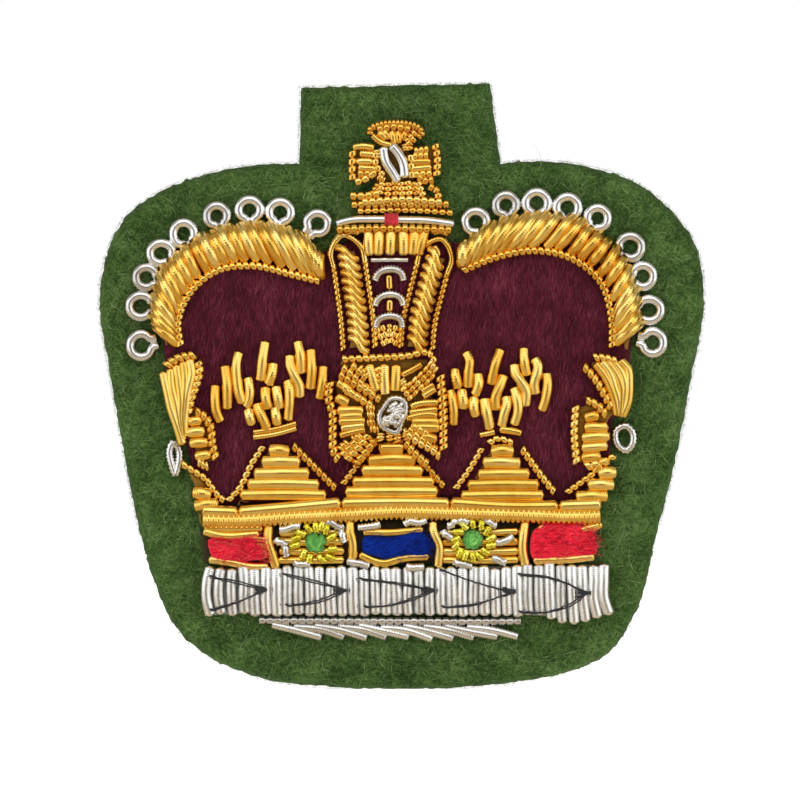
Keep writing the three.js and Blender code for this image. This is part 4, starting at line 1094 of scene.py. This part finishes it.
def stones():
    band_top = front_of("jewel_band")
    rise = front_of("ruby_left")
    for side, outline in RUBIES.items():
        ring = smooth_line(np.array(outline) * SQUARE, 0.4, closed=True)
        pad = soft_layer(Work(f"ruby_pad_{side}"), ring, band_top - 0.4, rise, 0.6, 0.16, 0.07, seed=9.0)
        roots = scatter(ring, RUBY_HAIRS)
        count = len(roots)
        hairs(pad, roots, rng.normal(0.1, 0.5, count), rng.uniform(0.3, 1.2, count),
              np.full(count, rise - 0.02), rng.uniform(0.01, 0.022, count), rng.normal(0, 0.2, count),
              rng.uniform(0, 1.2, count), stand=0.1)
        pad.build(RED_FELT, "red_felt", [f"ruby_{side}"])
    ring = smooth_line(np.array(SAPPHIRE) * SQUARE, 0.4, closed=True)
    rise = front_of("sapphire")
    pad = soft_layer(Work("sapphire_pad"), ring, band_top - 0.4, rise, 0.5, 0.16, 0.04, seed=12.0)
    roots = scatter(ring, SAPPHIRE_HAIRS)
    count = len(roots)
    hairs(pad, roots, rng.normal(0.1, 0.35, count), rng.uniform(0.3, 1.0, count),
          np.full(count, rise - 0.03), rng.uniform(0.01, 0.02, count), rng.normal(0, 0.15, count),
          rng.uniform(0, 1.0, count), stand=0.06)
    pad.build(BLUE_CLOTH, "blue_cloth", ["sapphire"])


def emeralds():
    band_top = front_of("jewel_band")
    for side, form in KNOTS.items():
        middle, reach = np.array(form["centre"]), form["reach"]
        knot = Work(f"emerald_knot_{side}")
        for k in range(16):
            turn = math.pi * k / 16 + rng.normal(0, 0.15)
            swing = rng.uniform(-0.5, 0.5)
            ahead = np.array([math.cos(turn), math.sin(turn)])
            across = np.array([-ahead[1], ahead[0]])
            line = [middle + ahead * t * reach * 0.9 + across * swing * reach * (1 - t * t)
                    for t in (-1, -0.5, 0, 0.5, 1)]
            knot.lay(line, 0.17, band_top + 0.05, bow=0.55, dip=0.1, jog=0.03)
        knot.build(GREEN_SILK, "green_thread", [f"emerald_{side}"])
        chips = Work(f"emerald_chips_{side}")
        for spot in np.array(form["chips"]):
            away = unit(spot - middle)
            turned = np.array([-away[1], away[0]]) * rng.choice([0.15, 0.5]) + away
            half = 0.36 * unit(turned)
            chips.lay([spot - half, spot + half], 0.33, band_top - 0.05, ROUGH, bow=0.12)
        chips.build(LEMON, "yellow_purl")


ERMINE_ROWS = 37
ERMINE_PITCH = 0.905
# Each tail is an upper and a lower line that meet in a tip.
ERMINE_TAILS = [
    [[[-15.6, -15.8], [-13.5, -16.3], [-11.4, -16.85]], [[-15.6, -18.55], [-13.5, -17.9], [-11.4, -16.95]]],
    [[[-9.6, -15.6], [-7.2, -16.2], [-4.8, -16.9]], [[-9.4, -18.2], [-6.9, -17.8], [-4.8, -17]]],
    [[[-3.3, -16], [-2, -16.1], [0.4, -16.5], [2.5, -16.9]],
     [[-2.9, -18.3], [-1, -18.2], [1, -17.6], [2.5, -17]]],
    [[[3.4, -15.3], [6, -16.2], [9.1, -17]], [[3.6, -18.3], [6, -18.1], [7.8, -17.5], [9.1, -17.05]]],
    [[[9.9, -15.6], [12, -15.8], [14, -16.5], [15.2, -17.1]],
     [[9.9, -18.75], [12, -18.65], [14, -18.1], [15.2, -17.2]]],
]


def ermine():
    top = front_of("ermine_purl")
    padding("ermine_core", "ermine_purl", top - 0.6, 0.25, WHITE_FELT)
    rows = Work("ermine_rows")
    for i in range(ERMINE_ROWS):
        x = -15.8 + i * ERMINE_PITCH
        foot = -18.95 - 0.8 * max(0, 1 - abs(x - 14) / 2.5) - rng.uniform(-0.05, 0.15)
        out = 0.4 * max(0, 1 - i / 3)
        fan = 0.05 * max(0, x - 11) + 0.1
        head = -14.95 + 0.25 * (x > 9) + rng.uniform(-0.15, 0.12)
        line = [[x, head], [x + 0.02 - 0.8 * out, -16], [x + 0.03 - out, -17.5], [x + fan - 0.2 * out, foot]]
        rows.lay(line, 0.46 * rng.uniform(0.94, 1.05), top - 0.9, bow=0.04, dip=0.08, squash=0.92, jog=0.025)
    rows.build(ERMINE, "ermine_silver", ["ermine_purl"])


def ermine_tails():
    top = front_of("ermine_purl")
    tails = Work("ermine_tails")
    for pair in ERMINE_TAILS:
        for line in pair:
            for shift in (-0.05, 0.05):
                tails.lay(np.array(line) + [0, shift], 0.055, top - 0.02, jog=0.05)
        tip = np.array(pair[0][-1])
        for spread in (-0.25, 0, 0.2):
            line = [tip + [-0.7, spread * 1.5], tip + [-0.3, spread * 0.8], tip + [0.3, 0]]
            tails.lay(line, 0.12, top - 0.02)
        for end in (pair[0][0], pair[1][0]):
            tails.lay([np.array(end) + [-0.25, 0.12], np.array(end) + [0.3, -0.02]], 0.09, top - 0.03)
    tails.build(BLACK_COTTON, "black_thread")


def ermine_fringe():
    fringe = Work("fringe_purls")
    for i in range(10):
        x = -10.8 + i * 1.8
        line = [[x, -19.8 - 0.12 * (i % 2)], [x + 2.1, -20.25], [x + 4.3, -20.9 + 0.04 * max(0, i - 6)]]
        fringe.lay(line, 0.42, FELT + 0.05 * (i % 3), ROUGH, bow=0.12, jog=0.06)
    fringe.build(ERMINE, "ermine_silver", ["ermine_fringe"])
    beads = Work("fringe_beads")
    line = [[-11.9, -19.4], [-6, -19.45], [0, -19.45], [5, -19.5], [10, -19.5]]
    beads.lay(line, 0.36, front_of("ermine_fringe") - 0.6, dict(BEADS, pitch=0.66, waist=0.6))
    beads.build(SILVER, "ermine_silver")


# ---- Stage ----

# Lamps are (place, size, power). The room's stops are (place, colour), 0 straight down and 1 straight up.
LAMPS = {
    "softbox_left": ((-0.394, -0.308, 0.06), (0.56, 0.36), 0.8),
    "softbox_right": ((0.394, -0.308, 0.06), (0.56, 0.36), 0.8),
    "softbox_top": ((0, -0.394, 0.308), (0.45, 0.44), 0.86),
    "back_left": ((-0.3, 0.42, 0.3), (0.4, 0.4), 0.7),
    "back_right": ((0.3, 0.42, 0.3), (0.4, 0.4), 0.7),
}
ROOM = [(0.36, (0.6, 0.49, 0.34)), (0.47, (0.09, 0.08, 0.07)), (0.55, (0.09, 0.08, 0.07)),
        (0.7, (0.38, 0.35, 0.31))]


def area_light(name, place, size, power):
    """A rectangular lamp aimed at the badge's origin."""
    lamp = bpy.data.lights.new(name, "AREA")
    lamp.shape = "RECTANGLE"
    lamp.size, lamp.size_y = size
    lamp.energy = power
    lamp.color = (0.93, 0.96, 1.0)
    holder = bpy.data.objects.new(name, lamp)
    holder.location = place
    holder.rotation_euler = (-Vector(place)).to_track_quat("-Z", "Y").to_euler()
    holder.visible_camera = False
    bpy.context.scene.collection.objects.link(holder)


def stage():
    """The world, the lamps, the floor and the camera."""
    scene = bpy.context.scene
    scene.view_settings.view_transform = "Standard"
    studio(scene)
    for name, (place, size, power) in LAMPS.items():
        area_light(name, place, size, power)
    ground(scene)

    lens = bpy.data.cameras.new("camera")
    lens.lens, lens.sensor_width = 250, 36
    lens.clip_start = 0.01
    camera = bpy.data.objects.new("camera", lens)
    camera.location = (-0.000125, -0.463, -0.00117)
    camera.rotation_euler = (math.pi / 2, 0, 0)
    scene.collection.objects.link(camera)
    scene.camera = camera


def studio(scene):
    """A room that metal sees warm below, dark round the horizon and grey above; the camera sees white."""
    world = bpy.data.worlds.new("studio")
    scene.world = world
    world.use_nodes = True
    nodes, links = world.node_tree.nodes, world.node_tree.links
    path, dim = nodes.new("ShaderNodeLightPath"), nodes["Background"]
    way = nodes.new("ShaderNodeSeparateXYZ")
    links.new(nodes.new("ShaderNodeTexCoord").outputs["Generated"], way.inputs["Vector"])
    height = nodes.new("ShaderNodeMapRange")
    height.inputs["From Min"].default_value = -1
    links.new(way.outputs["Z"], height.inputs["Value"])
    glow = nodes.new("ShaderNodeValToRGB")
    links.new(height.outputs["Result"], glow.inputs["Fac"])
    links.new(glow.outputs["Color"], dim.inputs["Color"])
    ramp = glow.color_ramp.elements
    for place, _ in ROOM[1:-1]:
        ramp.new(place)
    for element, (place, tint) in zip(ramp, ROOM):
        element.position = place
        element.color = (*tint, 1)
    pale, choose = nodes.new("ShaderNodeBackground"), nodes.new("ShaderNodeMixShader")
    pale.inputs["Color"].default_value = (1, 1, 1, 1)
    links.new(path.outputs["Is Camera Ray"], choose.inputs["Fac"])
    links.new(dim.outputs["Background"], choose.inputs[1])
    links.new(pale.outputs["Background"], choose.inputs[2])
    links.new(choose.outputs["Shader"], nodes["World Output"].inputs["Surface"])


def ground(scene):
    """A pale floor at the badge's lowest point."""
    floor = bpy.data.meshes.new("floor")
    reach, low = 0.6, cad_box[0][2]
    corners = [(x * reach, y * reach, low) for x, y in ((-1, -1), (1, -1), (1, 1), (-1, 1))]
    floor.from_pydata(corners, [], [(0, 1, 2, 3)])
    paint = Shader("pale_floor", Roughness=0.8, Emission_Color=(1, 1, 1, 1), Emission_Strength=0.8)
    greys = [(0.3, (0.86, 0.86, 0.86)), (0.7, (0.9, 0.9, 0.9))]
    paint.link(paint.ramp(paint.noise(60), greys), "Base Color")
    floor.materials.append(paint.material)
    plane = bpy.data.objects.new("floor", floor)
    scene.collection.objects.link(plane)
    plane.visible_glossy = False
    plane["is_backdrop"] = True


backing()
cap_cloth()
for name, form in ARCHES.items():
    arch(name, form)
    pearls(name)
    rib(name)
    spray(name)
column()
orb()
top_cross()
for name, form in POINTS.items():
    point(name, form)
front_cross()
side_crosses()
circlet()
stones()
emeralds()
ermine()
ermine_tails()
ermine_fringe()
stage()

boxes = {"cad": cad_box, "visual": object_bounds()}
{key: [list(map(float, corner)) for corner in box] for key, box in boxes.items()}
